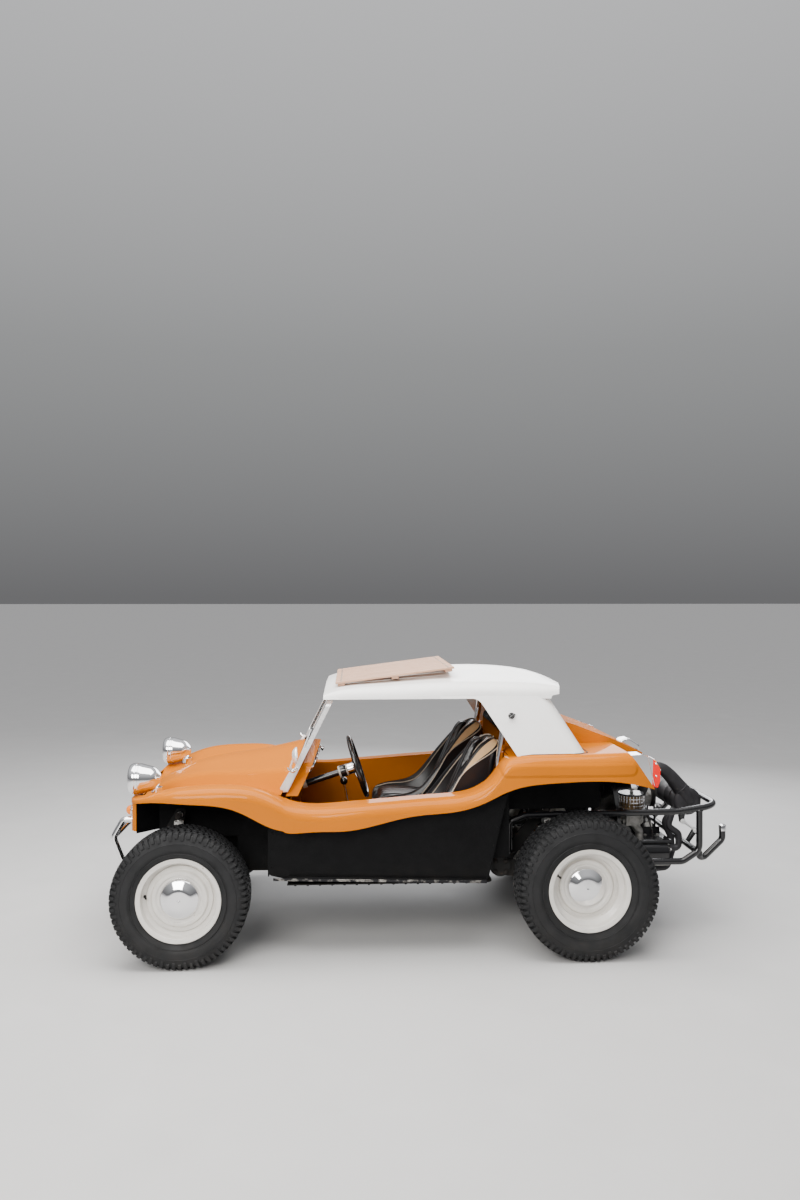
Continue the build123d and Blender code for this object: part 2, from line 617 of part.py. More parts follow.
def seat_shell():
    """High-back bucket with side bolsters, on a plinth."""
    half = SEAT_W / 2
    shell = prism_y(
        [(960, 460, 30), (965, 660, 40), (1180, 640, 120), (1300, 744, 90), (1548, 1048, 40),
         (1590, 1076, 28), (1632, 1010, 36), (1540, 760, 160), (1500, 500, 60), (1420, 440, 40), (1000, 440, 30)],
        SEAT_Y - half, SEAT_Y + half)
    scoop = prism_y(
        [(900, 520, 0), (1380, 500, 70), (1530, 1030, 0), (1532, 1200, 0), (1300, 1200, 0), (900, 900, 0)],
        SEAT_Y - half, SEAT_Y + half)
    plinth = block(1060, 1420, SEAT_Y - 170, SEAT_Y + 170, FLOOR_Z + SHEET, 445)
    return (shell & seat_taper(0)) - (scoop & seat_taper(34)) + plinth - tunnel_solid(SEAT_GAP)


def seat_pad():
    """Padded cushion and back inside the bucket."""
    half = SEAT_W / 2
    pad = prism_y(
        [(966, 518, 25), (1379, 501, 76), (1529, 1030, 8), (1500, 1012, 30),
         (1296, 660, 90), (1230, 590, 60), (975, 610, 40)],
        SEAT_Y - half, SEAT_Y + half)
    return pad & seat_taper(34 + SEAT_GAP)


def steer_point(along, across=0.0):
    """Point on the column's line, counted from the steering wheel's centre."""
    t = radians(STEER_TILT)
    return (STEER_X - along * cos(t) - across * sin(t), WHEEL_Y, STEER_Z - along * sin(t) + across * cos(t))


def steer_plane(along):
    t = radians(STEER_TILT)
    return Plane(origin=steer_point(along), x_dir=(0, 1, 0), z_dir=(cos(t), 0, sin(t)))


def steering_column():
    """Fixed outer column with its switch housing, from the wheel to the box."""
    tube = rod(steer_point(60), steer_point(COLUMN_END), COLUMN_R)
    bore = rod(steer_point(50), steer_point(140), 9 + FIT)
    switch = rod(steer_point(66), steer_point(104), 32)
    sx, sy, sz = steer_point(84)
    stalk = rod((sx, sy, sz + 20), (sx + 10, sy - 120, STEER_Z + 20), 5)
    return tube + switch + stalk - bore


def steering_wheel():
    """Rim, three drilled spokes and hub, on its shaft."""
    plane = steer_plane(0)
    rim = plane * Torus(STEER_RIM_R, 13)
    hub = plane * Pos(0, 0, -40) * Cylinder(30, 30)
    wheel = rim + hub
    for turn in (0, 120, 240):
        spoke = Rot(0, 0, turn) * Pos(0, -STEER_RIM_R / 2 - 5, -14) * Rot(-10, 0, 0) * Box(24, STEER_RIM_R - 15, 4)
        wheel = wheel + plane * spoke
    shaft = rod(steer_point(54), steer_point(130), 9)
    return wheel + rod(steer_point(30), steer_point(58), 14) + shaft


def gear_lever():
    stick = bent_rod([(800, 0, 505), (830, 0, 600), (800, 0, 760)], [90], 7)
    return Pos(800, 0, 503) * Cylinder(28, 6) + stick + ball(800, 0, 768, 22)


def handbrake():
    bar = bent_rod([(960, 0, 512), (1060, 0, 520), (1210, 0, 570)], [120], 9)
    return bar + block(930, 1000, -14, 14, 500, 530) + rod((1150, 0, 550), (1230, 0, 577), 14)


def pedals():
    """Three pedals hung from a bar across the footwell, left of the tunnel."""
    bar = rod((420, -FOOTWELL_Y + WALL, 420), (420, -76, 420), 9)
    for y in (-300, -220, -140):
        arm = block(414, 426, y - 7, y + 7, 420, 560)
        pad = block(426, 434, y - 26, y + 26, 545, 605)
        bar = bar + arm + pad
    return bar


def headlamp():
    """Right-hand bullet lamp on its stalk, the foot shaped to the wing."""
    x, y, z = -214, 450, 879
    shell = turned_x(
        [(0, -6, 0), (56, -4, 20), (78, 10, 6), (78, 40, 40), (58, 112, 60), (20, 142, 24), (0, 143, 0)],
        x - 74, y, z)
    stalk = rod((x + 30, y, z - 40), (x + 44, y - 8, 800), 13)
    foot = Pos(x + 44, y - 8, 818) * Cylinder(28, 30)
    return shell + ((stalk + foot) - front_wing_core(SEAT_GAP))


def front_bumper():
    """Chrome tube: two side loops joined across."""
    y, r = 400, BUMPER_R
    bar = rod((BUMPER_X, -y, 562), (BUMPER_X, y, 562), r)
    for side in (-1, 1):
        s = side * y
        bar = bar + bent_rod([(-298 - SEAT_GAP, s, 656), (-352, s, 656), (BUMPER_X, s, 562), (-358, s, 442),
                              (-270, s, 390), (BUMPER_EAR_X - SEAT_GAP, s, 390)], [30, 50, 60, 50], r)
    return bar


def rear_bumper():
    """Tube cage round the engine, with the two capped stubs at the tail."""
    y, r = CAGE_Y, CAGE_R
    leg = (TORSION_X + 52, BRACKET_Z + SEAT_GAP)
    cage = bent_rod([(leg[0], -y + 6, leg[1]), (leg[0], -y + 6, 640), (1760, -y + 6, 674), (2560, -y, 684),
                     (2790, -y, 716), (2790, y, 716), (2560, y, 684), (1760, y - 6, 674), (leg[0], y - 6, 640),
                     (leg[0], y - 6, leg[1])], [24, 60, 300, 90, 90, 300, 60, 24], r)
    for side in (-1, 1):
        s = side
        down = bent_rod([(2690, s * y, 702), (2690, s * y, 478), (2600, s * y, 420), (2252, s * y, 420),
                         (2252, s * 136, 420)], [60, 60, 60], r)
        stub = bent_rod([(2690, s * (y - 20), 470), (2720, s * 440, 408), (STUB_X, s * 440, 520), (STUB_X, s * 440, 596)],
                        [30, 40], r)
        cage = cage + down + stub
    return cage + rod((2690, -y, 462), (2690, y, 462), r)


def tail_lamp():
    """Right-hand lamp on the slanted tail panel of the wing."""
    high, low = 1012, 850
    return prism_y([(tail_x(high, SEAT_GAP), high, 0), (2330, 1016, 24), (2398, 990, 30), (2426, 940, 40),
                    (2424, 880, 24), (2412, low - 4, 0), (tail_x(low, SEAT_GAP), low, 0)], 566, 660)


def plate_lamp():
    """Small domed housing on the deck's slope, its base shaped to the deck."""
    dome = prism_y([(2392, 940, 0), (2392, 998, 30), (2450, 1008, 40), (2512, 968, 24), (2506, 930, 0)], -48, 48)
    return fillet(dome.edges().filter_by(GeomType.LINE).filter_by(Axis.Z), 10) - deck_core(SEAT_GAP)


def engine_case():
    """Crankcase with its sump plate, bolted to the gearbox, and the crank pulley."""
    x = ENGINE_X
    h = CASE_HALF
    case = prism_x([(6 - h, 330, 30), (6 - h, 470, 40), (-70, 530, 30), (70, 530, 30), (h - 6, 470, 40), (h - 6, 330, 30)],
                   x, x + 280)
    for i in range(4):
        rib = prism_x([(-h, 336, 30), (-h, 466, 40), (-76, 508, 30), (76, 508, 30), (h, 466, 40), (h, 336, 30)],
                      x + 30 + i * 70, x + 38 + i * 70)
        case = case + rib
    sump = block(x + 40, x + 250, -110, 110, 300, 335)
    pulley = turned_x([(0, -11, 0), (85, -11, 2), (85, -6, 1), (72, 0, 2), (85, 6, 1), (85, 11, 2), (0, 11, 0)],
                      x + 300, 0, 420)
    nose = rod((x + 270, 0, 420), (x + 300, 0, 420), 28)
    return case + sump + pulley + nose


def cylinder_bank():
    """Right-hand pair of finned barrels with pushrod tubes, finned head and rocker cover."""
    x = ENGINE_X
    bank = block(x + 34, x + 276, 282, 340, 356, 484)
    for i in range(9):
        bank = bank + block(x + 20, x + 290, 272, 350, 354 + i * 16, 359 + i * 16)
    for cx in (x + 85, x + 225):
        bank = bank + rod((cx, CASE_HALF + SEAT_GAP, 420), (cx, 290, 420), 44)
        for i in range(9):
            bank = bank + rod((cx, 146 + i * 14, 420), (cx, 150 + i * 14, 420), 66)
        for shift in (-30, 30):
            bank = bank + rod((cx + shift, CASE_HALF + 1, 348), (cx + shift, 284, 362), 9)
    cover = prism_x([(349, 362, 6), (349, 478, 6), (382, 470, 18), (392, 440, 30), (392, 400, 30), (382, 370, 18)],
                    x + 35, x + 275)
    port = rod((x + 270, BANK_Y, 440), (x + 290, BANK_Y, 440), PORT_R + 7)
    inlet = rod((x + 130, 324, 470), (x + 130, 324, INLET_Z), 23)
    return bank + cover + port + inlet


def fan_shroud():
    """Upright fan housing with its ducts and cooling tins, the dynamo and its belt pulley."""
    foot, back, x = 530 + SEAT_GAP, ENGINE_X + 130, ENGINE_X
    shroud = prism_x([(-285, foot, 0), (-285, 620, 40), (-150, 800, 140), (150, 800, 140), (285, 620, 40),
                      (285, foot, 0)], x + 20, back)
    shroud = shroud - prism_x([(-277, foot - 9, 0), (-277, 616, 36), (-146, 792, 132), (146, 792, 132), (277, 616, 36),
                               (277, foot - 9, 0)], x + 28, back - 8)
    dynamo = rod((back - 6, 0, 660), (x + 288, 0, 660), 52)
    pulley = turned_x([(0, -12, 0), (60, -12, 2), (60, -6, 1), (48, 0, 2), (60, 6, 1), (60, 12, 2), (0, 12, 0)],
                      x + 300, 0, 660)
    stand = block(x + 180, x + 240, -40, 40, foot, 625)
    tin = prism_x([(150, 491, 0), (150, 520, 0), (154, 520, 0), (158, 495, 0), (354, 495, 12), (358, 481, 0),
                   (354, 481, 0), (350, 491, 8)], x + 12, x + 300)
    duct = prism_x([(148, 500, 0), (148, foot + 4, 0), (285, foot + 4, 0), (285, 493, 0), (160, 493, 0)],
                   x + 20, back)
    duct = duct - block(x + 28, back - 8, 162, 277, 480, foot - 4)
    hole = rod((x + 130, 324, 480), (x + 130, 324, 520), 26)
    side = tin + duct - hole
    return shroud + dynamo + pulley + stand + side + mirrored(side)


def carburettor():
    """Right-hand carburettor on its manifold, with a pleated round filter."""
    x, y = ENGINE_X + 72, 374
    root = ENGINE_X + 130
    filt = bent_rod([(root, 324, INLET_Z + SEAT_GAP), (root, 324, 540), (x, y, 604)], [30], 22)
    filt = filt + block(x - 38, x + 38, y - 34, y + 34, 590, 672) + rod((x - 52, y, 612), (x + 52, y, 612), 22)
    for low, high, radius in ((672, 684, 70), (680, 752, 54), (752, 762, 70)):
        filt = filt + rod((x, y, low), (x, y, high), radius)
    for i in range(24):
        pleat = Rot(0, 0, i * 15) * Pos(57, 0, 0) * Box(12, 5, 72)
        filt = filt + Pos(x, y, 718) * pleat
    return filt


def exhaust():
    """Silencer across the tail, four swept header pipes and the large crossover pipe."""
    x, r = ENGINE_X, PORT_R
    out = rod((x + 400, -330, 700), (x + 400, 330, 700), 74)
    for side in (-1, 1):
        s = side
        rear = bent_rod([(x + 290 + SEAT_GAP, s * BANK_Y, 440), (x + 355, s * BANK_Y, 440), (x + 355, s * BANK_Y, 520),
                         (x + 298, s * 300, 560), (x + 328, s * 290, 640), (x + 382, s * 280, 668)],
                        [30, 30, 28, 30], r)
        front = bent_rod([(x + 55, s * BANK_Y, 354 - SEAT_GAP), (x + 55, s * BANK_Y, 318), (x + 310, s * 250, 318),
                          (x + 350, s * 220, 400), (x + 350, s * 200, 470), (x + 310, s * 200, 560),
                          (x + 382, s * 200, 655)], [24, 40, 40, 40, 40], r)
        out = out + rear + front + rod((x + 400, s * 330, 700), (x + 400, s * 336, 700), 66)
    arch = bent_rod([(x + 130 + SEAT_GAP, -190, 680), (x + 178, -190, 680), (x + 262, -300, 898),
                     (x + 384, -300, 790), (x + 446, -300, 702)], [40, 60, 80], 27)
    return out + arch


def gearbox():
    """Ribbed gearbox and final drive between the horns."""
    x = WHEELBASE
    case = rod((x - 312, 0, 400), (ENGINE_X, 0, 400), 92)
    for i in range(5):
        case = case + rod((x - 280 + i * 40, 0, 400), (x - 272 + i * 40, 0, 400), 98)
    drive = rod((x, -120, REAR_AXLE_Z), (x, 120, REAR_AXLE_Z), 120)
    bell = Pos(ENGINE_X - 30, 0, 410) * Rot(0, 90, 0) * Cone(110, 150, 60)
    cradle = block(x - 42, x + 24, -225, 225, 464 + SEAT_GAP, 482)
    return case + drive + bell + cradle


def rear_axle():
    """Right-hand swing axle tube with backing plate, spring plate and its cover."""
    p, z = SPRING_PLATE_Y, REAR_AXLE_Z
    tube = rod((WHEELBASE, 120 + SEAT_GAP, z), (WHEELBASE, 600, z), 34)
    plate = rod((WHEELBASE, 596, z), (WHEELBASE, 602, z), 122)
    spring = prism_y([(TORSION_X - 50, TORSION_Z - 45, 30), (TORSION_X - 50, TORSION_Z + 45, 30),
                      (WHEELBASE + 60, z + 40, 20), (WHEELBASE + 60, z - 40, 20)], p, p + SPRING_PLATE_T)
    cover = rod((TORSION_X, p + 4, TORSION_Z), (TORSION_X, p + 26, TORSION_Z), 53)
    fx, fz = REAR_SHOCK_FOOT
    lug = prism_y([(fx - 18, fz - 18, 10), (fx - 18, fz + 18, 10), (WHEELBASE, z + 20, 0), (WHEELBASE, z - 20, 0)],
                  REAR_SHOCK_Y + 20, REAR_SHOCK_Y + 30)
    stud = rod((fx, REAR_SHOCK_Y - 20, fz), (fx, REAR_SHOCK_Y + 25, fz), SHOCK_STUD_R)
    bore = rod((WHEELBASE, 500, z), (WHEELBASE, 610, z), 15 + FIT)
    return tube + plate + spring + cover + lug + stud - bore


def shock(x0, z0, x1, z1, y, body_r):
    """Telescopic damper with a bored eye at both ends, the dust tube above."""
    def at(t):
        return (x0 + (x1 - x0) * t, y, z0 + (z1 - z0) * t)
    damper = rod(at(0), at(0.5), body_r * 0.72) + rod(at(0.45), at(0.92), body_r) + rod(at(0.5), at(1), 8)
    for x, z in ((x0, z0), (x1, z1)):
        damper = damper + rod((x, y - 16, z), (x, y + 16, z), 17)
    for x, z in ((x0, z0), (x1, z1)):
        damper = damper - rod((x, y - 30, z), (x, y + 30, z), SHOCK_STUD_R + SEAT_GAP)
    return damper


def front_axle():
    """Twin torsion tubes with towers, trailing arms, kingpins and the steering box."""
    axle = None
    for z in (BEAM_LOW_Z, BEAM_HIGH_Z):
        tube = rod((BEAM_X, -BEAM_END_Y, z), (BEAM_X, BEAM_END_Y, z), BEAM_TUBE_R)
        axle = tube if axle is None else axle + tube
    for side in (-1, 1):
        s = side
        def across(y0, y1):
            return (min(s * y0, s * y1), max(s * y0, s * y1))
        ya, yb = across(BEAM_END_Y, BEAM_END_Y + ARM_T)
        yc, yd = across(BEAM_END_Y, KINGPIN_Y + 24)
        ye, yf = across(BEAM_END_Y - 26, BEAM_END_Y - 14)
        for z, lug in ((BEAM_LOW_Z, FRONT_AXLE_Z - 62), (BEAM_HIGH_Z, FRONT_AXLE_Z + 62)):
            arm = prism_y([(BEAM_X - 30, z - 28, 20), (BEAM_X - 30, z + 28, 20), (BEAM_X + 10, z + 30, 20),
                           (24, lug + 12, 5), (24, lug - 12, 5), (-30, lug - 14, 20)], ya, yb)
            axle = axle + arm + block(-24, 24, yc, yd, lug - 11, lug + 11)
        pin = rod((0, s * KINGPIN_Y, FRONT_AXLE_Z - 70), (0, s * KINGPIN_Y, FRONT_AXLE_Z + 70), 12)
        tower = prism_y([(BEAM_X - 30, 370, 10), (BEAM_X - 30, 540, 20), (-70, 716, 14), (-20, 716, 14),
                         (-30, 660, 20), (BEAM_X + 34, 500, 20), (BEAM_X + 34, 370, 10)], ye, yf)
        axle = axle + pin + tower
        for x, z in (FRONT_SHOCK_TOP, FRONT_SHOCK_FOOT):
            axle = axle + rod((x, s * (BEAM_END_Y - 16), z), (x, s * (FRONT_SHOCK_Y + 18), z), SHOCK_STUD_R)
        ear_low, ear_high = across(386, 414)
        axle = axle + block(BUMPER_EAR_X, BEAM_X, ear_low, ear_high, 372, 408)
    box = prism_z([(-100, PITMAN_Y - 45, 20), (-100, PITMAN_Y + 45, 20), (10, PITMAN_Y + 45, 20),
                   (10, PITMAN_Y - 45, 20)], 400, 600)
    saddle = block(BEAM_X - 10, -60, PITMAN_Y - 30, PITMAN_Y + 30, 470, 540)
    worm = rod(steer_point(COLUMN_END + SEAT_GAP), steer_point(COLUMN_END + 64), 26)
    shaft = rod((PITMAN_X, PITMAN_Y, 330), (PITMAN_X, PITMAN_Y, 410), 12)
    eye = prism_z([(BEAM_X - 60, -24, 22), (BEAM_X - 60, 24, 22), (BEAM_X, 40, 0), (BEAM_X, -40, 0)], 356, 372)
    eye = eye - rod((BEAM_X - 38, 0, 340), (BEAM_X - 38, 0, 390), TOW_EYE_R)
    return axle + box + worm + saddle + shaft + eye


def knuckle():
    """Right-hand steering knuckle: boss, spindle, backing plate and steering arm."""
    y, z = KINGPIN_Y, FRONT_AXLE_Z
    boss = rod((0, y, z - 50), (0, y, z + 50), 26)
    spindle = rod((0, y, z), (0, 712, z), 20)
    plate = rod((0, 646, z), (0, 652, z), 118)
    arm = block(0, STEER_ARM, y - 12, y + 12, TIE_Z - 34, TIE_Z - 18)
    tip = rod((STEER_ARM, y, TIE_Z - 34), (STEER_ARM, y, TIE_Z - 18), 20)
    pin = rod((STEER_ARM, y, TIE_Z - 30), (STEER_ARM, y, TIE_Z + 12), 8)
    web = block(10, 40, y - 12, y + 12, TIE_Z - 34, z + 10)
    bore = rod((0, y, z - 60), (0, y, z + 60), 12 + FIT)
    return boss + spindle + plate + arm + tip + pin + web - bore


def pitman_arm():
    x, y = PITMAN_X, PITMAN_Y
    hub = rod((x, y, 350), (x, y, 388), 22)
    arm = block(x, x + STEER_ARM, y - 13, y + 13, 352, 368)
    tip = rod((x + STEER_ARM, y, 352), (x + STEER_ARM, y, 368), 18)
    pin = rod((x + STEER_ARM, y, TIE_Z - 14), (x + STEER_ARM, y, 360), 7)
    bore = rod((x, y, 340), (x, y, 400), 12 + FIT)
    return hub + arm + tip + pin - bore


def tie_rod(side):
    """Track rod from a knuckle's pin to the pitman arm's pin."""
    a = (STEER_ARM, side * KINGPIN_Y, TIE_Z)
    low = -12 if side > 0 else 6
    b = (PITMAN_X + STEER_ARM, PITMAN_Y, TIE_Z + low)
    bar = rod(a, b, 8)
    eye_a = rod((a[0], a[1], a[2] - 12), (a[0], a[1], a[2] + 12), 18)
    eye_b = rod((b[0], b[1], b[2] - 8), (b[0], b[1], b[2] + 8), 17)
    hole_a = rod((a[0], a[1], a[2] - 20), (a[0], a[1], a[2] + 20), 8 + FIT)
    hole_b = rod((b[0], b[1], b[2] - 20), (b[0], b[1], b[2] + 20), 8)
    return bar + eye_a + eye_b - hole_a - hole_b


def tyre(x, z, centre_y, width, radius):
    """Hollow tyre with rounded shoulders."""
    h, s = width / 2, 26
    bead = h - TYRE_BULGE - 14
    c = centre_y
    outline = [
        (RIM_SEAT_R + 0.3, c + bead, 0), (RIM_SEAT_R + 24, c + bead + 4, 10), ((RIM_SEAT_R + radius) / 2, c + h, 60),
        (radius - 10, c + h - 12, 26), (radius, c + h - 46, 60), (radius, c - h + 46, 60),
        (radius - 10, c - h + 12, 26), ((RIM_SEAT_R + radius) / 2, c - h, 60), (RIM_SEAT_R + 24, c - bead - 4, 10),
        (RIM_SEAT_R + 0.3, c - bead, 0), (RIM_SEAT_R + 0.3, c - bead + 20, 0),
        ((RIM_SEAT_R + radius) / 2, c - h + 14, 40), (radius - s, c - h + 40, 30), (radius - s, c + h - 40, 30),
        ((RIM_SEAT_R + radius) / 2, c + h - 14, 40), (RIM_SEAT_R + 0.3, c + bead - 20, 0),
    ]
    return turned(outline, x, z)


def rim(x, z, centre_y, width, dish, spindle_r, shaft_to):
    """Steel rim with its stepped disc, hubcap, drum and hub."""
    h = width / 2 - TYRE_BULGE
    g = RIM_GAUGE
    c = centre_y
    barrel = turned([
        (RIM_FLANGE_R, c + h, 3), (RIM_FLANGE_R, c + h - 8, 3), (RIM_SEAT_R, c + h - 12, 3),
        (RIM_SEAT_R - 2, c + h - 40, 6), (RIM_WELL_R, c + h - 56, 8), (RIM_WELL_R, c - h + 56, 8),
        (RIM_SEAT_R - 2, c - h + 40, 6), (RIM_SEAT_R, c - h + 12, 3), (RIM_FLANGE_R, c - h + 8, 3),
        (RIM_FLANGE_R, c - h, 3), (RIM_SEAT_R - g, c - h + 6, 3), (RIM_SEAT_R - 2 - g, c - h + 42, 6),
        (RIM_WELL_R - g, c - h + 60, 6), (RIM_WELL_R - g, c + h - 60, 6), (RIM_SEAT_R - 2 - g, c + h - 42, 6),
        (RIM_SEAT_R - g, c + h - 6, 3),
    ], x, z)
    d = WHEEL_FACE_Y - dish
    disc = turned([
        (RIM_WELL_R - 8, d - 30, 0), (RIM_WELL_R - 2, d - 30, 0), (RIM_WELL_R - 2, d, 4), (142, d, 5),
        (134, d + 12, 5), (118, d + 12, 5), (110, d + 4, 5), (0, d + 4, 0), (0, d + 4 - g, 0), (108, d + 4 - g, 5), (116, d + 12 - g, 5),
        (136, d + 12 - g, 5), (144, d - g, 5), (RIM_WELL_R - 8, d - g, 4),
    ], x, z)
    cap = turned([
        (0, d + 4, 0), (0, d + 6 + HUBCAP_RISE, 0), (52, d + 2 + HUBCAP_RISE, 60), (HUBCAP_R - 8, d + 18, 14),
        (HUBCAP_R, d + 4, 0),
    ], x, z)
    drum = turned([(0, d, 0), (112, d, 8), (115, d - 62, 0), (106, d - 62, 0), (104, d - 10, 0), (46, d - 10, 0),
                   (46, d - 62, 0), (0, d - 62, 0)], x, z)
    wheel = barrel + disc + cap + drum
    if shaft_to:
        return wheel + rod((x, d - 60, z), (x, shaft_to, z), spindle_r)
    return wheel - rod((x, d - 70, z), (x, d - 8, z), spindle_r + FIT)


def main():
    os.makedirs("parts", exist_ok=True)
    write_pair("wing", wing())
    write("bonnet", bonnet())
    write("nose_panel", nose_panel())
    write("cockpit", cockpit())
    write("rear_deck", rear_deck())
    write("dashboard", dashboard())
    write("floor_pan", floor_pan())
    write_pair("side_panel", side_panel())
    write("windscreen_frame", screen_frame())
    write("windscreen_glass", screen_glass())
    write("hardtop", hardtop())
    write("rear_glass", rear_glass())
    write("roof_slats", roof_slats())
    write("roll_bar", roll_bar())
    write_pair("seat_shell", seat_shell())
    write_pair("seat_pad", seat_pad())
    write("steering_column", steering_column())
    write("steering_wheel", steering_wheel())
    write("gear_lever", gear_lever())
    write("handbrake", handbrake())
    write("pedals", pedals())
    write_pair("headlamp", headlamp())
    write("front_bumper", front_bumper())
    write("rear_bumper", rear_bumper())
    write_pair("tail_lamp", tail_lamp())
    write("plate_lamp", plate_lamp())
    write("engine_case", engine_case())
    write_pair("cylinder_bank", cylinder_bank())
    write("fan_shroud", fan_shroud())
    write_pair("carburettor", carburettor())
    write("exhaust", exhaust())
    write("gearbox", gearbox())
    write_pair("rear_axle", rear_axle())
    write("front_axle", front_axle())
    write_pair("knuckle", knuckle())
    write("tie_rod_left", tie_rod(-1))
    write("tie_rod_right", tie_rod(1))
    write("pitman_arm", pitman_arm())
    write_pair("front_shock", shock(*FRONT_SHOCK_FOOT, *FRONT_SHOCK_TOP, FRONT_SHOCK_Y, 24))
    write_pair("rear_shock", shock(*REAR_SHOCK_FOOT, *REAR_SHOCK_TOP, REAR_SHOCK_Y, 26))
    front = (0, FRONT_AXLE_Z, FRONT_WHEEL_Y, FRONT_TYRE_W)
    rear = (WHEELBASE, REAR_AXLE_Z, REAR_WHEEL_Y, REAR_TYRE_W)
    write_pair("front_tyre", tyre(*front, FRONT_TYRE_R))
    write_pair("front_rim", rim(*front, FRONT_DISH, 20, None))
    write_pair("rear_tyre", tyre(*rear, REAR_TYRE_R))
    write_pair("rear_rim", rim(*rear, REAR_DISH, 15, 505))


main()
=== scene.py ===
"""Looks of the dune buggy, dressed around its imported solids."""
import json
import logging
from dataclasses import dataclass, field, replace
from enum import Enum
from math import acos, asin, cos, hypot, pi, radians, sin, tan
from typing import Callable, Iterable, Sequence

import bpy
from mathutils import Matrix, Vector

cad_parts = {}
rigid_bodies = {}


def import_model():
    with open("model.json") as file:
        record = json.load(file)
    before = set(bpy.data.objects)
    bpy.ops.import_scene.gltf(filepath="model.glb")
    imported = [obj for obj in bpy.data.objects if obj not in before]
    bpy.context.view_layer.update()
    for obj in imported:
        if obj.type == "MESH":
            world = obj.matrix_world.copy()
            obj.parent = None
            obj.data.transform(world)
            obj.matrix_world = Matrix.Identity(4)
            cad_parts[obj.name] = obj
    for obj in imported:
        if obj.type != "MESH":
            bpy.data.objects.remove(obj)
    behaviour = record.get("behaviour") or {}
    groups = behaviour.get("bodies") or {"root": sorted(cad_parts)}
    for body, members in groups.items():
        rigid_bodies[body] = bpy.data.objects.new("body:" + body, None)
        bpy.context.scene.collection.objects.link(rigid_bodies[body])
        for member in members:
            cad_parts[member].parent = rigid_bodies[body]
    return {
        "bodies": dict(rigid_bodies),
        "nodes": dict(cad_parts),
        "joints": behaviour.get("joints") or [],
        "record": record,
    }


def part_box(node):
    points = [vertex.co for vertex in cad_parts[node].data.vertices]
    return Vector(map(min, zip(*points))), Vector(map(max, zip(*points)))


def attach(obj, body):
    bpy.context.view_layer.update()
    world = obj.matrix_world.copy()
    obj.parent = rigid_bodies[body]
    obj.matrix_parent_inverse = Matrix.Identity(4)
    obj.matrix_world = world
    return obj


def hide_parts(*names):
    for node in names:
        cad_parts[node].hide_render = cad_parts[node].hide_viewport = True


LOG = logging.getLogger("buggy")
Colour = tuple[float, float, float]
Corner = tuple[float, float, float]
Point = tuple[float, float, float]
Pair = tuple[float, float]
Node = bpy.types.Object
Socket = bpy.types.NodeSocket
Pick = Callable[[Vector, Vector], int]
SIDES = (("left", -1), ("right", 1))


# Finishes
class Axis(Enum):
    """Axis that a turned or extruded form follows."""
    X = 0
    Y = 1
    Z = 2

    def point(self, u: float, v: float, w: float) -> Point:
        """Point at w along the axis and at u, v across it."""
        return {Axis.X: (w, u, v), Axis.Y: (u, w, v), Axis.Z: (u, v, w)}[self]


@dataclass(frozen=True)
class Grain:
    """Fine relief or tone from noise, at a size in metres."""
    size: float
    depth: float = 0.0
    tone: float = 0.0
    detail: float = 6.0
    stretch: Point = (1.0, 1.0, 1.0)


@dataclass(frozen=True)
class Pressing:
    """Long round-ended form pressed into a panel, seen from the side; metres at rest."""
    x: float
    z: float
    half: float
    radius: float
    lip: float = 0.014
    depth: float = 0.006


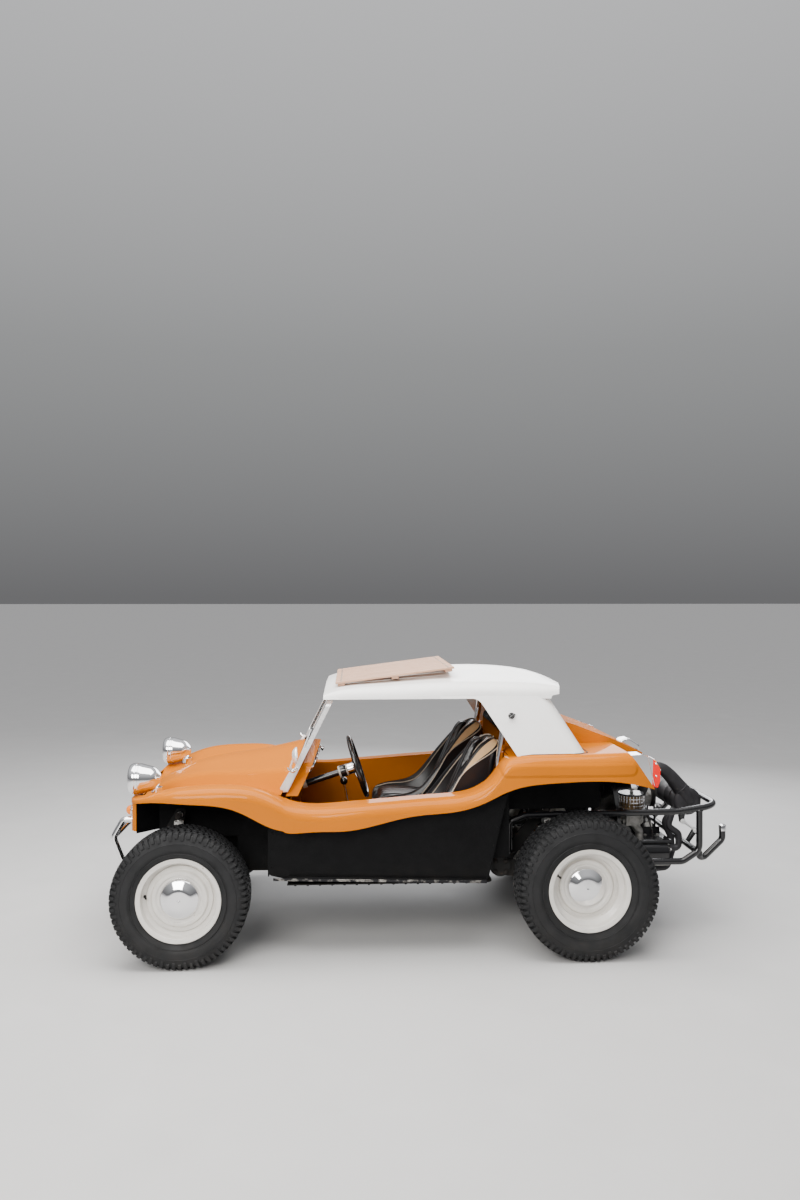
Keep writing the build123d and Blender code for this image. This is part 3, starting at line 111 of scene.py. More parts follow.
class Graph:
    """Node tree of one material, with the calls that wire it."""

    def __init__(self, tree: bpy.types.NodeTree) -> None:
        """Start from the position in metres."""
        self.nodes, self.links = tree.nodes, tree.links
        self.place = self.add("TexCoord", "Object")

    def add(self, kind: str, out: str | int, inputs: dict | None = None, **settings: object) -> Socket:
        """Add a node, and set or connect its inputs.

        Args:
            kind: type of the node.
            out: the output wanted.
            inputs: a socket or a value for each input that changes.
            settings: the node's own settings.

        Returns:
            The output's socket.
        """
        node = self.nodes.new("ShaderNode" + kind)
        for key, value in settings.items():
            setattr(node, key, value)
        for key, value in (inputs or {}).items():
            if isinstance(value, Socket):
                self.links.new(value, node.inputs[key])
            else:
                node.inputs[key].default_value = value
        return node.outputs[out]

    def along(self, axis: str) -> Socket:
        """One coordinate of the position."""
        return self.add("SeparateXYZ", axis, {0: self.place})

    def math(self, kind: str, *values: Socket | float) -> Socket:
        """One step of arithmetic on sockets or numbers."""
        return self.add("Math", 0, dict(enumerate(values)), operation=kind)

    def noise(self, size: float, detail: float = 4.0, stretch: Point = (1.0, 1.0, 1.0)) -> Socket:
        """Noise of a real size.

        Args:
            size: size of one patch in metres.
            detail: octaves.
            stretch: scale along each axis.

        Returns:
            The noise's factor.
        """
        place = self.place
        if stretch != (1.0, 1.0, 1.0):
            place = self.add("Mapping", "Vector", {"Scale": stretch, "Vector": place})
        return self.add("TexNoise", "Fac", {"Scale": 1 / size, "Detail": detail, "Vector": place})

    def ramp(self, value: Socket, low: float, high: float, start: float = 0.0, end: float = 1.0) -> Socket:
        """Spread a value over a range: start where it is low, end where it is high."""
        return self.add("MapRange", "Result", {
            "Value": value, "From Min": low, "From Max": high, "To Min": start, "To Max": end})

    def mix(self, factor: Socket, a: Socket | Colour, b: Socket | Colour) -> Socket:
        """Mix two colours.

        Args:
            factor: socket from 0 to 1.
            a: colour at 0.
            b: colour at 1.

        Returns:
            The mixed colour.
        """
        node = self.nodes.new("ShaderNodeMix")
        node.data_type = "RGBA"
        self.links.new(factor, node.inputs["Factor"])
        for key, value in (("A", a), ("B", b)):
            slot = next(s for s in node.inputs if s.name == key and s.type == "RGBA")
            if isinstance(value, tuple):
                slot.default_value = (*value, 1)
            else:
                self.links.new(value, slot)
        return next(s for s in node.outputs if s.type == "RGBA")

    def bump(self, height: Socket, depth: float, under: Socket | None) -> Socket:
        """Relief of a height over the relief so far.

        Args:
            height: socket from 0 to 1.
            depth: height of the relief in metres.
            under: normal so far.

        Returns:
            The new normal.
        """
        inputs = {"Height": height, "Distance": depth, "Strength": 1.0}
        if under:
            inputs["Normal"] = under
        return self.add("Bump", "Normal", inputs)


@dataclass(frozen=True)
class Finish:
    """A painted, plated, moulded or woven surface with its wear and dirt."""
    name: str
    colour: Colour
    roughness: float = 0.5
    metallic: float = 0.0
    specular: float = 0.5
    coat: float = 0.0
    coat_roughness: float = 0.05
    alpha: float = 1.0
    ior: float = 1.5
    grains: tuple[Grain, ...] = ()
    rough_spread: float = 0.08
    worn: Colour | None = None
    worn_share: float = 0.0
    dust: float = 0.0
    dust_height: float = 0.45
    dust_colour: Colour = (0.20, 0.16, 0.11)
    edge: float = 0.0012
    glow: float = 0.0
    pressing: Pressing | None = None

    def make(self) -> bpy.types.Material:
        """Build the material.

        Returns:
            The node material, made once and kept by name.
        """
        found = bpy.data.materials.get(self.name)
        if found:
            return found
        material = bpy.data.materials.new(self.name)
        material.use_nodes = True
        self._wire(material.node_tree)
        if self.alpha < 1.0:
            material.surface_render_method = "BLENDED"
        return material

    def _wire(self, tree: bpy.types.NodeTree) -> None:
        """Lay out the nodes.

        Args:
            tree: node tree of the new material.
        """
        shader = tree.nodes["Principled BSDF"]
        for socket, value in (
            ("Roughness", self.roughness), ("Metallic", self.metallic),
            ("Specular IOR Level", self.specular), ("Coat Weight", self.coat),
            ("Coat Roughness", self.coat_roughness), ("Alpha", self.alpha), ("IOR", self.ior),
        ):
            shader.inputs[socket].default_value = value
        if self.glow:
            shader.inputs["Emission Color"].default_value = (*self.colour, 1)
            shader.inputs["Emission Strength"].default_value = self.glow
        graph = Graph(tree)
        tree.links.new(self._tint(graph), shader.inputs["Base Color"])
        if self.rough_spread:
            low = max(0.01, self.roughness - self.rough_spread / 2)
            high = min(1.0, self.roughness + self.rough_spread)
            rough = graph.ramp(graph.noise(0.09, 5), 0.3, 0.7, low, high)
            tree.links.new(rough, shader.inputs["Roughness"])
        normal = self._relief(graph)
        if normal:
            tree.links.new(normal, shader.inputs["Normal"])

    def _tint(self, graph: Graph) -> Socket:
        """Base colour with tone, wear and dust.

        Args:
            graph: the material's nodes.

        Returns:
            The colour's socket.
        """
        deep = tuple(c * 0.93 for c in self.colour)
        tint = graph.mix(graph.ramp(graph.noise(0.35, 3), 0.3, 0.7), deep, self.colour)
        for grain in self.grains:
            if grain.tone:
                fleck = graph.noise(grain.size, grain.detail, grain.stretch)
                dark = tuple(c * (1 - grain.tone) for c in self.colour)
                tint = graph.mix(graph.ramp(fleck, 0.62, 0.4), tint, dark)
        if self.worn:
            patch = graph.ramp(graph.noise(0.03, 8), 0.72 - self.worn_share * 0.3, 0.76)
            tint = graph.mix(patch, tint, self.worn)
        if self.dust:
            low = graph.ramp(graph.along("Z"), self.dust_height, 0.02)
            patch = graph.ramp(graph.noise(0.06, 8), 0.35, 0.75)
            share = graph.math("MULTIPLY", graph.math("MULTIPLY", low, patch), self.dust)
            tint = graph.mix(share, tint, self.dust_colour)
        return tint

    def _relief(self, graph: Graph) -> Socket | None:
        """Softened edges with the relief of the grains and the pressing.

        Args:
            graph: the material's nodes.

        Returns:
            The normal's socket, or None for a plain surface.
        """
        normal = graph.add("Bevel", "Normal", {"Radius": self.edge}, samples=4) if self.edge else None
        for grain in self.grains:
            if grain.depth:
                height = graph.noise(grain.size, grain.detail, grain.stretch)
                normal = graph.bump(height, grain.depth, normal)
        if self.pressing:
            form = self.pressing
            along = graph.math("ABSOLUTE", graph.math("SUBTRACT", graph.along("X"), form.x))
            past = graph.math("MAXIMUM", graph.math("SUBTRACT", along, form.half), 0.0)
            up = graph.math("SUBTRACT", graph.along("Z"), form.z)
            squares = (graph.math("POWER", past, 2.0), graph.math("MULTIPLY", up, up))
            away = graph.math("SQRT", graph.math("ADD", *squares))
            height = graph.ramp(away, form.radius + form.lip, form.radius)
            normal = graph.bump(height, form.depth, normal)
        return normal


ORANGE = Finish("amber gel coat", (0.53, 0.146, 0.0), 0.5, specular=0.02, coat=0.24, coat_roughness=0.02,
                rough_spread=0.05, grains=(Grain(0.02, 0.00005), Grain(0.15, 0.0003)))
WING_ORANGE = replace(ORANGE, name="amber gel coat, wing", dust=0.25, dust_height=0.62,
                      pressing=Pressing(0.723, 0.952, 0.315, 0.022))
WHITE = Finish("white gel coat", (0.95, 0.94, 0.92), 0.36, specular=0.4, coat=0.2, coat_roughness=0.1,
               grains=(Grain(0.12, 0.0004), Grain(0.03, 0.0, 0.03)), edge=0.002)
STONE_BLACK = Finish("black stone-guard paint", (0.0036, 0.0037, 0.0041), 0.55, specular=0.1,
                     rough_spread=0.15, grains=(Grain(0.005, 0.0012), Grain(0.05, 0.0006, 0.2)),
                     dust=0.10, dust_height=0.48)
BLACK_ENAMEL = Finish("black enamel", (0.005, 0.005, 0.006), 0.22, specular=0.4, coat=0.4,
                      grains=(Grain(0.012, 0.0001),), dust=0.08)
CHASSIS = Finish("chassis black", (0.009, 0.0088, 0.0085), 0.55, specular=0.25,
                 grains=(Grain(0.008, 0.0005), Grain(0.04, 0.0, 0.3)),
                 worn=(0.05, 0.03, 0.018), worn_share=0.2, dust=0.25)
CHROME = Finish("chrome plate", (0.90, 0.90, 0.91), 0.04, 1.0, rough_spread=0.04,
                grains=(Grain(0.05, 0.00004),))
BRIGHT = Finish("bright aluminium", (0.93, 0.93, 0.93), 0.3, 0.55,
                grains=(Grain(0.004, 0.00006), Grain(0.03, 0.0, 0.08)))
MIRROR = Finish("mirror glass", (0.9, 0.92, 0.93), 0.01, 1.0, rough_spread=0.0, edge=0.0)
ALLOY = Finish("cast alloy", (0.34, 0.335, 0.32), 0.48, 1.0,
               grains=(Grain(0.003, 0.0003), Grain(0.03, 0.0, 0.4)),
               worn=(0.09, 0.08, 0.07), worn_share=0.6, rough_spread=0.2)
IRON = Finish("cast iron", (0.035, 0.031, 0.028), 0.7, 0.5, specular=0.3,
              grains=(Grain(0.004, 0.0004), Grain(0.03, 0.0, 0.4)),
              worn=(0.08, 0.038, 0.018), worn_share=0.35)
GREY_PIPE = Finish("heat-resisting pipe paint", (0.022, 0.021, 0.024), 0.5, specular=0.3,
                   grains=(Grain(0.004, 0.0003), Grain(0.05, 0.0, 0.3)),
                   worn=(0.06, 0.05, 0.045), worn_share=0.2)
BRONZE = Finish("bronze gauze", (0.20, 0.12, 0.05), 0.45, 0.9, grains=(Grain(0.002, 0.0004, 0.4),))
RUBBER = Finish("tyre rubber", (0.0095, 0.0098, 0.0108), 0.62, specular=0.35,
                grains=(Grain(0.002, 0.0002), Grain(0.05, 0.0, 0.2)), dust=0.035, rough_spread=0.18)
SEAL = Finish("black rubber", (0.007, 0.007, 0.007), 0.6, specular=0.25,
              grains=(Grain(0.004, 0.0002), Grain(0.03, 0.0, 0.2)), edge=0.0)
SCUFFED = Finish("scuffed sill strip", (0.02, 0.02, 0.022), 0.34, 0.8, grains=(Grain(0.004, 0.0003),),
                 worn=(0.42, 0.40, 0.37), worn_share=0.75, rough_spread=0.25)
ENAMEL = Finish("off-white wheel enamel", (0.72, 0.69, 0.64), 0.3, specular=0.4, coat=0.4,
                coat_roughness=0.08, grains=(Grain(0.02, 0.0002), Grain(0.06, 0.0, 0.1)),
                worn=(0.22, 0.16, 0.10), worn_share=0.05)
VINYL = Finish("black vinyl", (0.0065, 0.0065, 0.008), 0.32,
               grains=(Grain(0.0018, 0.00025), Grain(0.05, 0.0005, 0.2)), edge=0.003)
BEIGE = Finish("beige vinyl", (0.70, 0.47, 0.24), 0.42, specular=0.3,
               grains=(Grain(0.0018, 0.00025), Grain(0.04, 0.0004, 0.12)), edge=0.003)
PIPING = Finish("pale piping", (0.50, 0.42, 0.33), 0.5, specular=0.3,
                grains=(Grain(0.002, 0.0002), Grain(0.02, 0.0, 0.15)), edge=0.0)
BAKELITE = Finish("black rim plastic", (0.005, 0.005, 0.005), 0.2, coat=0.4, grains=(Grain(0.02, 0.0002),))
BOARD = Finish("pale board", (0.62, 0.38, 0.26), 0.7, specular=0.15,
               grains=(Grain(0.02, 0.0004, 0.35, stretch=(0.06, 1, 1)),
                       Grain(0.006, 0.0003, 0.2, stretch=(0.04, 1, 1))))
AMBER_LENS = Finish("amber lens", (0.95, 0.22, 0.0), 0.1, specular=0.3, coat=0.5,
                    grains=(Grain(0.004, 0.0002),), edge=0.002, glow=0.15)
RED_LENS = Finish("red lens", (0.75, 0.0, 0.0), 0.1, specular=0.3, coat=0.5,
                  grains=(Grain(0.004, 0.0002),), edge=0.002, glow=0.25)
PANE = Finish("clear pane", (0.92, 0.96, 0.95), 0.02, specular=0.3, alpha=0.06, ior=1.45, edge=0.0,
              rough_spread=0.0)
HEAD_GLASS = Finish("fluted lamp glass", (0.75, 0.77, 0.78), 0.08, 0.9, coat=1.0, coat_roughness=0.02,
                    edge=0.0, rough_spread=0.04)
LAMP_GLASS = Finish("lamp glass", (0.8, 0.82, 0.82), 0.06, coat=1.0, edge=0.0, rough_spread=0.0)
LEAD = Finish("plug lead rubber", (0.012, 0.011, 0.011), 0.4, specular=0.3,
              grains=(Grain(0.005, 0.0001, 0.2),), edge=0.0)
DIAL = Finish("dial markings", (0.7, 0.7, 0.66), 0.5, grains=(Grain(0.003, 0.0, 0.1),), edge=0.0)
COLLAR = Finish("pale collar", (0.62, 0.58, 0.5), 0.4, 0.2,
                grains=(Grain(0.004, 0.0002), Grain(0.02, 0.0, 0.2)))
SHOCK_SILVER = Finish("silver damper paint", (0.72, 0.71, 0.68), 0.4, 0.1,
                      grains=(Grain(0.01, 0.0002), Grain(0.04, 0.0, 0.2)))
FLOOR = Finish("pale floor", (0.56, 0.555, 0.55), 0.7, specular=0.1, grains=(Grain(0.5, 0.0, 0.04),),
               edge=0.0)


# Shapes
def bend_path(corners: Sequence[Corner], steps: int = 5, closed: bool = True) -> list[Pair]:
    """Sample an outline of straight runs joined by tangent arcs.

    Args:
        corners: (u, v, bend radius) corners.
        steps: points on each arc, less one.
        closed: whether the last corner joins the first.

    Returns:
        Points of the outline.
    """
    out: list[Pair] = []
    count = len(corners)
    for i, (u, v, r) in enumerate(corners):
        if r <= 0 or (not closed and i in (0, count - 1)):
            out.append((u, v))
            continue
        pu, pv, _ = corners[i - 1]
        nu, nv, _ = corners[(i + 1) % count]
        back, ahead = hypot(pu - u, pv - v), hypot(nu - u, nv - v)
        bu, bv, au, av = (pu - u) / back, (pv - v) / back, (nu - u) / ahead, (nv - v) / ahead
        half = acos(max(-1.0, min(1.0, bu * au + bv * av))) / 2
        reach, mid, centre = r / tan(half), hypot(bu + au, bv + av), r / sin(half)
        cu, cv = u + (bu + au) / mid * centre, v + (bv + av) / mid * centre
        start, end = (u + bu * reach - cu, v + bv * reach - cv), (u + au * reach - cu, v + av * reach - cv)
        turn = pi - 2 * half
        for k in range(steps + 1):
            t = k / steps
            a, b = sin((1 - t) * turn) / sin(turn), sin(t * turn) / sin(turn)
            out.append((cu + start[0] * a + end[0] * b, cv + start[1] * a + end[1] * b))
    return out


def eased(path: Sequence[Sequence[float]], steps: int = 4) -> list[Vector]:
    """Round a path through its points.

    Args:
        path: points to pass through.
        steps: steps on each run.

    Returns:
        Points of the rounded path.
    """
    pts = [Vector(p) for p in path]
    out = []
    last = len(pts) - 1
    for i in range(last):
        a, b, c, d = pts[max(i - 1, 0)], pts[i], pts[i + 1], pts[min(i + 2, last)]
        for t in (k / steps for k in range(steps)):
            out.append(0.5 * (2 * b + (c - a) * t + (2 * a - 5 * b + 4 * c - d) * t * t
                              + (3 * b - a - 3 * c + d) * t ** 3))
    return out + [pts[-1]]


def rounded(path: Sequence[Sequence[float]], radii: Sequence[float], steps: int = 6) -> list[Vector]:
    """Round the corners of a path.

    Args:
        path: its corners.
        radii: a bend radius for each inner corner.
        steps: points on each bend, less one.

    Returns:
        Points of the rounded path.
    """
    pts = [Vector(p) for p in path]
    out = [pts[0]]
    for a, b, c, radius in zip(pts, pts[1:], pts[2:], radii):
        u, v = (a - b).normalized(), (c - b).normalized()
        cut = min(radius / tan(u.angle(v) / 2), (a - b).length * 0.5, (c - b).length * 0.5)
        start, end = b + u * cut, b + v * cut
        for t in (k / steps for k in range(steps + 1)):
            out.append(start * (1 - t) ** 2 + b * (2 * t * (1 - t)) + end * t * t)
    return out + [pts[-1]]


def apply_modifiers(obj: Node) -> None:
    """Write an object's modifiers into its mesh.

    Args:
        obj: the object; its modifiers are removed.
    """
    graph = bpy.context.evaluated_depsgraph_get()
    mesh = bpy.data.meshes.new_from_object(obj.evaluated_get(graph))
    obj.modifiers.clear()
    obj.data = mesh


def smoothing(obj: Node, levels: int) -> None:
    """Add a subdivision modifier to an object."""
    modifier = obj.modifiers.new("smooth", "SUBSURF")
    modifier.levels = modifier.render_levels = levels


@dataclass
class Form:
    """Mesh being built, in millimetres counted from the front axle."""
    points: list[Vector] = field(default_factory=list)
    faces: list[tuple[int, ...]] = field(default_factory=list)
    marks: list[int] = field(default_factory=list)

    def add(self, points: Iterable[Sequence[float]], faces: Iterable[Sequence[int]], mark: int = 0) -> None:
        """Add points and the faces on them.

        Args:
            points: the new points.
            faces: faces that count from the first new point.
            mark: material index.
        """
        start = len(self.points)
        self.points += [Vector(p) for p in points]
        for f in faces:
            self.faces.append(tuple(start + i for i in f))
            self.marks.append(mark)

    def grid(self, rows: Sequence[Sequence[Sequence[float]]], around: bool = True, caps: bool = True,
             loop: bool = False, mark: int = 0) -> None:
        """Add a skin through rows of equal length.

        Args:
            rows: rows of points.
            around: whether each row closes on itself.
            caps: whether the two end rows are closed by a face.
            loop: whether the last row joins the first.
            mark: material index.
        """
        n, m = len(rows), len(rows[0])
        faces: list[tuple[int, ...]] = []
        for i in range(n if loop else n - 1):
            j = (i + 1) % n
            for k in range(m if around else m - 1):
                l = (k + 1) % m
                faces.append((i * m + k, i * m + l, j * m + l, j * m + k))
        if caps and around and not loop:
            faces.append(tuple(range(m - 1, -1, -1)))
            faces.append(tuple((n - 1) * m + k for k in range(m)))
        self.add([p for row in rows for p in row], faces, mark)

    def prism(self, outline: Sequence[Pair], axis: Axis, low: float, high: float, mark: int = 0) -> None:
        """Add an outline carried along an axis between two ends, in either order."""
        ends = sorted((low, high))
        self.grid([[axis.point(u, v, w) for u, v in outline] for w in ends], mark=mark)

    def turn(self, profile: Sequence[Pair], centre: Point, axis: Axis = Axis.Y, steps: int = 48,
             close: bool = False, mark: int = 0) -> None:
        """Add a profile turned about an axis.

        Args:
            profile: (radius, along) points.
            centre: a point on the axis, from which along is counted.
            axis: direction of the axis.
            steps: copies of the profile around.
            close: whether the profile closes on itself.
            mark: material index.
        """
        rows = []
        for a in (2 * pi * i / steps for i in range(steps)):
            offsets = (axis.point(r * cos(a), r * sin(a), w) for r, w in profile)
            rows.append([tuple(c + o for c, o in zip(centre, offset)) for offset in offsets])
        self.grid(rows, around=close, caps=False, loop=True, mark=mark)

    def spin(self, profile: Sequence[Pair], base: Vector, out: Vector, up: Vector, mark: int = 0) -> None:
        """Add a profile turned about a slanting line in the car's length.

        Args:
            profile: (radius, along) points.
            base: a point on the line, from which along is counted.
            out: direction of the line.
            up: direction square to it.
            mark: material index.
        """
        side = Vector((0, 1, 0))
        rows = []
        for a in (2 * pi * k / 40 for k in range(40)):
            rows.append([base + out * w + (up * cos(a) + side * sin(a)) * r for r, w in profile])
        self.grid(rows, around=False, caps=False, loop=True, mark=mark)

    def tube(self, path: Sequence[Sequence[float]], radius: float | Sequence[float], sides: int = 14,
             loop: bool = False, mark: int = 0) -> None:
        """Add a round bar along a path.

        Args:
            path: points along its middle.
            radius: one radius, or one for each point.
            sides: points around.
            loop: whether the path closes on itself.
            mark: material index.
        """
        pts = [Vector(p) for p in path]
        count = len(pts)
        radii = [radius] * count if isinstance(radius, (int, float)) else list(radius)
        rows = []
        normal = None
        for i, p in enumerate(pts):
            before = pts[i - 1] if (i or loop) else p
            after = pts[(i + 1) % count] if (i < count - 1 or loop) else p
            along = (after - before).normalized()
            if normal is None:
                normal = along.orthogonal().normalized()
            normal = (normal - along * normal.dot(along)).normalized()
            side = along.cross(normal)
            rows.append([p + (normal * cos(2 * pi * k / sides) + side * sin(2 * pi * k / sides)) * radii[i]
                         for k in range(sides)])
        self.grid(rows, caps=not loop, loop=loop, mark=mark)

    def bolt(self, at: Sequence[float], out: Sequence[float], size: float, mark: int = 0) -> None:
        """Add a hexagon head on a washer.

        Args:
            at: middle of the washer's underside.
            out: direction in which the head stands out.
            size: width across the head's corners, nearly.
            mark: material index.
        """
        o = Vector(out).normalized()
        u = o.orthogonal().normalized()
        v = o.cross(u)
        base = Vector(at)
        washer = (16, size * 0.95, 0.0, size * 0.14)
        head = (6, size * 0.62, size * 0.14, size * 0.62)
        for sides, r, low, high in (washer, head):
            rings = [(r, low), (r, high - size * 0.06), (r * 0.9, high)]
            self.grid([[base + o * w + (u * cos(2 * pi * k / sides) + v * sin(2 * pi * k / sides)) * q
                        for k in range(sides)] for q, w in rings], mark=mark)

    def mirrored(self) -> "Form":
        """The same form on the car's other side."""
        return Form([Vector((p.x, -p.y, p.z)) for p in self.points],
                    [tuple(reversed(f)) for f in self.faces], list(self.marks))


@dataclass
class Car:
    """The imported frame, and what is made on it."""
    frame: dict
    origin: float = 0.0

    def __post_init__(self) -> None:
        """Find where the front axle lies along the car."""
        low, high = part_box("front_tyre_left")
        self.origin = (low.x + high.x) / 2

    def place(self, x: float, y: float, z: float) -> Vector:
        """Point in metres for millimetres from the front axle."""
        return Vector((x / 1000 + self.origin, y / 1000, z / 1000))

    def dress(self, node: str, *finishes: Finish, pick: Pick | None = None) -> Node:
        """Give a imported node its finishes.

        Args:
            node: the node's name.
            finishes: one finish, or those that pick chooses from.
            pick: finish number for a face's middle (mm from the front axle) and normal.

        Returns:
            The node's object.
        """
        obj = self.frame["nodes"][node]
        mesh = obj.data
        mesh.materials.clear()
        for finish in finishes:
            mesh.materials.append(finish.make())
        if pick:
            for face in mesh.polygons:
                c = face.center
                centre = Vector(((c.x - self.origin) * 1000, c.y * 1000, c.z * 1000))
                face.material_index = pick(centre, face.normal)
        return obj

    def build(self, name: str, form: Form, slot: str, *finishes: Finish, body: str = "chassis",
              smooth: float = 35.0, bevel: float = 0.0, subdivide: int = 0,
              replaces: Sequence[str] = ()) -> Node:
        """Turn a form into a piece that rides on a body.

        Args:
            name: the piece's name.
            form: its mesh.
            slot: the record's material slot; not used.
            finishes: its finishes, by mark.
            body: the body it rides on.
            smooth: sharpest angle in degrees that is shaded smooth.
            bevel: width in millimetres of its bevelled edges.
            subdivide: levels of subdivision.
            replaces: nodes that it stands for.

        Returns:
            The new object.
        """
        mesh = bpy.data.meshes.new(name)
        mesh.from_pydata([self.place(*p) for p in form.points], [], form.faces)
        for finish in finishes:
            mesh.materials.append(finish.make())
        for face, mark in zip(mesh.polygons, form.marks):
            face.material_index = mark
        mesh.update()
        obj = bpy.data.objects.new(name, mesh)
        bpy.context.scene.collection.objects.link(obj)
        if bevel:
            modifier = obj.modifiers.new("edges", "BEVEL")
            modifier.width = bevel / 1000
            modifier.segments = 2
            modifier.limit_method = "ANGLE"
            modifier.angle_limit = radians(40)
        if subdivide:
            smoothing(obj, subdivide)
        for face in mesh.polygons:
            face.use_smooth = True
        mesh.set_sharp_from_angle(angle=radians(smooth))
        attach(obj, body)
        if replaces:
            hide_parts(*replaces)
        LOG.info("%s: %d faces", name, len(form.faces))
        return obj


# Sub-assemblies
@dataclass
class Body:
    """Moulded body: wings, bonnet, nose, deck, cowl and cockpit."""
    car: Car
    wing_inner_y: float = 640.0
    wing_tail_x: float = 2200.0
    tub_front_x: float = 530.0
    tub_rear_x: float = 1640.0

    def build(self) -> None:
        """Dress the mouldings, with black stone-guard paint underneath."""
        for side, _ in SIDES:
            self.car.dress(f"wing_{side}", WING_ORANGE, STONE_BLACK, pick=self._wing)
        for node, back, under in (
            ("bonnet", STONE_BLACK, lambda c, n: int(n.z < -0.25)),
            ("nose_panel", STONE_BLACK, lambda c, n: int(n.x > 0.2)),
            ("rear_deck", STONE_BLACK, lambda c, n: int(n.z < -0.3 or n.x < -0.5)),
            ("cockpit", STONE_BLACK, self._tub),
            ("dashboard", BLACK_ENAMEL, lambda c, n: int(n.x > 0.75)),
        ):
            self.car.dress(node, ORANGE, back, pick=under)

    def _wing(self, centre: Vector, normal: Vector) -> int:
        """Choose among the finishes of a wing.

        Args:
            centre: the face's middle.
            normal: its direction.

        Returns:
            0 for the outside, 1 for the black inner side.
        """
        inward = -normal.y if centre.y > 0 else normal.y
        tail = normal.x < -0.5 and centre.x > self.wing_tail_x
        return int(normal.z < -0.3 or (inward > 0.5 and abs(centre.y) > self.wing_inner_y) or tail)

    def _tub(self, centre: Vector, normal: Vector) -> int:
        """Choose among the finishes of the cockpit.

        Args:
            centre: the face's middle.
            normal: its direction.

        Returns:
            0 for the inside, 1 for the black outside.
        """
        outward = normal.y if centre.y > 0 else -normal.y
        rear = normal.x > 0.5 and centre.x > self.tub_rear_x
        front = normal.x < -0.5 and centre.x < self.tub_front_x
        return int(outward > 0.5 or rear or front)


@dataclass
class Screen:
    """Windscreen: glass, rubber, hinges and the driver's mirror."""
    car: Car
    foot: Pair = (505.0, 800.0)
    rake: float = 26.5
    half: float = 532.0
    low: float = 985.0
    high: float = 1266.0
    crown: float = 1070.0
    hinge_at: Pair = (588.0, 925.0)
    mirror_y: float = 584.0
    mirror_x: float = 560.0

    def at(self, y: float, z: float, out: float) -> Point:
        """Point on the screen's plane, moved forwards by out."""
        t = radians(self.rake)
        return (self.foot[0] + (z - self.foot[1]) * tan(t) - out * cos(t), y, z + out * sin(t))

    def build(self) -> None:
        """Dress the frame and glass and add what is fixed to them."""
        self.car.dress("windscreen_frame", BRIGHT, MIRROR, pick=self._mirror)
        self.car.dress("windscreen_glass", PANE)
        self._rubber()
        for side, sign in SIDES:
            self._hinge(side, sign)

    def _mirror(self, centre: Vector, normal: Vector) -> int:
        """Finish number for a face: the mirror's glass looks back."""
        return int(abs(centre.y) > self.mirror_y and normal.x > 0.9 and centre.x > self.mirror_x)

    def _rubber(self) -> None:
        """Seal round the glass on both faces and the pad under the frame."""
        form = Form()
        h = self.half
        glass = bend_path([(-h, self.low, 18), (-h, self.high, 18), (h, self.high, 18), (h, self.low, 18),
                           (0, self.crown, 880)], 8)
        for out in (17.2, 8.8):
            form.tube([self.at(y, z, out) for y, z in glass], 2.6, 8, loop=True)
        sill = bend_path([(-566, 834, 0), (-520, 830, 0), (-470, 955, 120), (0, 1028, 880),
                          (470, 955, 120), (520, 830, 0), (566, 834, 0)], 8, closed=False)
        form.tube([self.at(y, z - 3, 16) for y, z in sill], 5.5, 8)
        self.car.build("screen_rubber", form, "panel_black", SEAL, smooth=70)

    def _hinge(self, side: str, sign: int) -> None:
        """Wing nut of the screen's hinge.

        Args:
            side: name of the side.
            sign: its direction across the car.
        """
        form = Form()
        hub = self.at(sign * self.hinge_at[0], self.hinge_at[1], 26)
        form.turn([(0, 0), (11, 0), (11, sign * 10), (6, sign * 16), (0, sign * 17)], hub, Axis.Y, 20)
        for tilt in (-1, 1):
            wing = [(hub[0] + tilt * x, hub[1] + sign * y, hub[2] + z) for x, y, z in
                    ((8, 10, 0), (20, 18, 9), (26, 20, 20))]
            form.tube(wing, [5, 6.5, 4], 8)
        self.car.build(f"screen_hinge_{side}", form, "chrome_trim", CHROME, smooth=50)


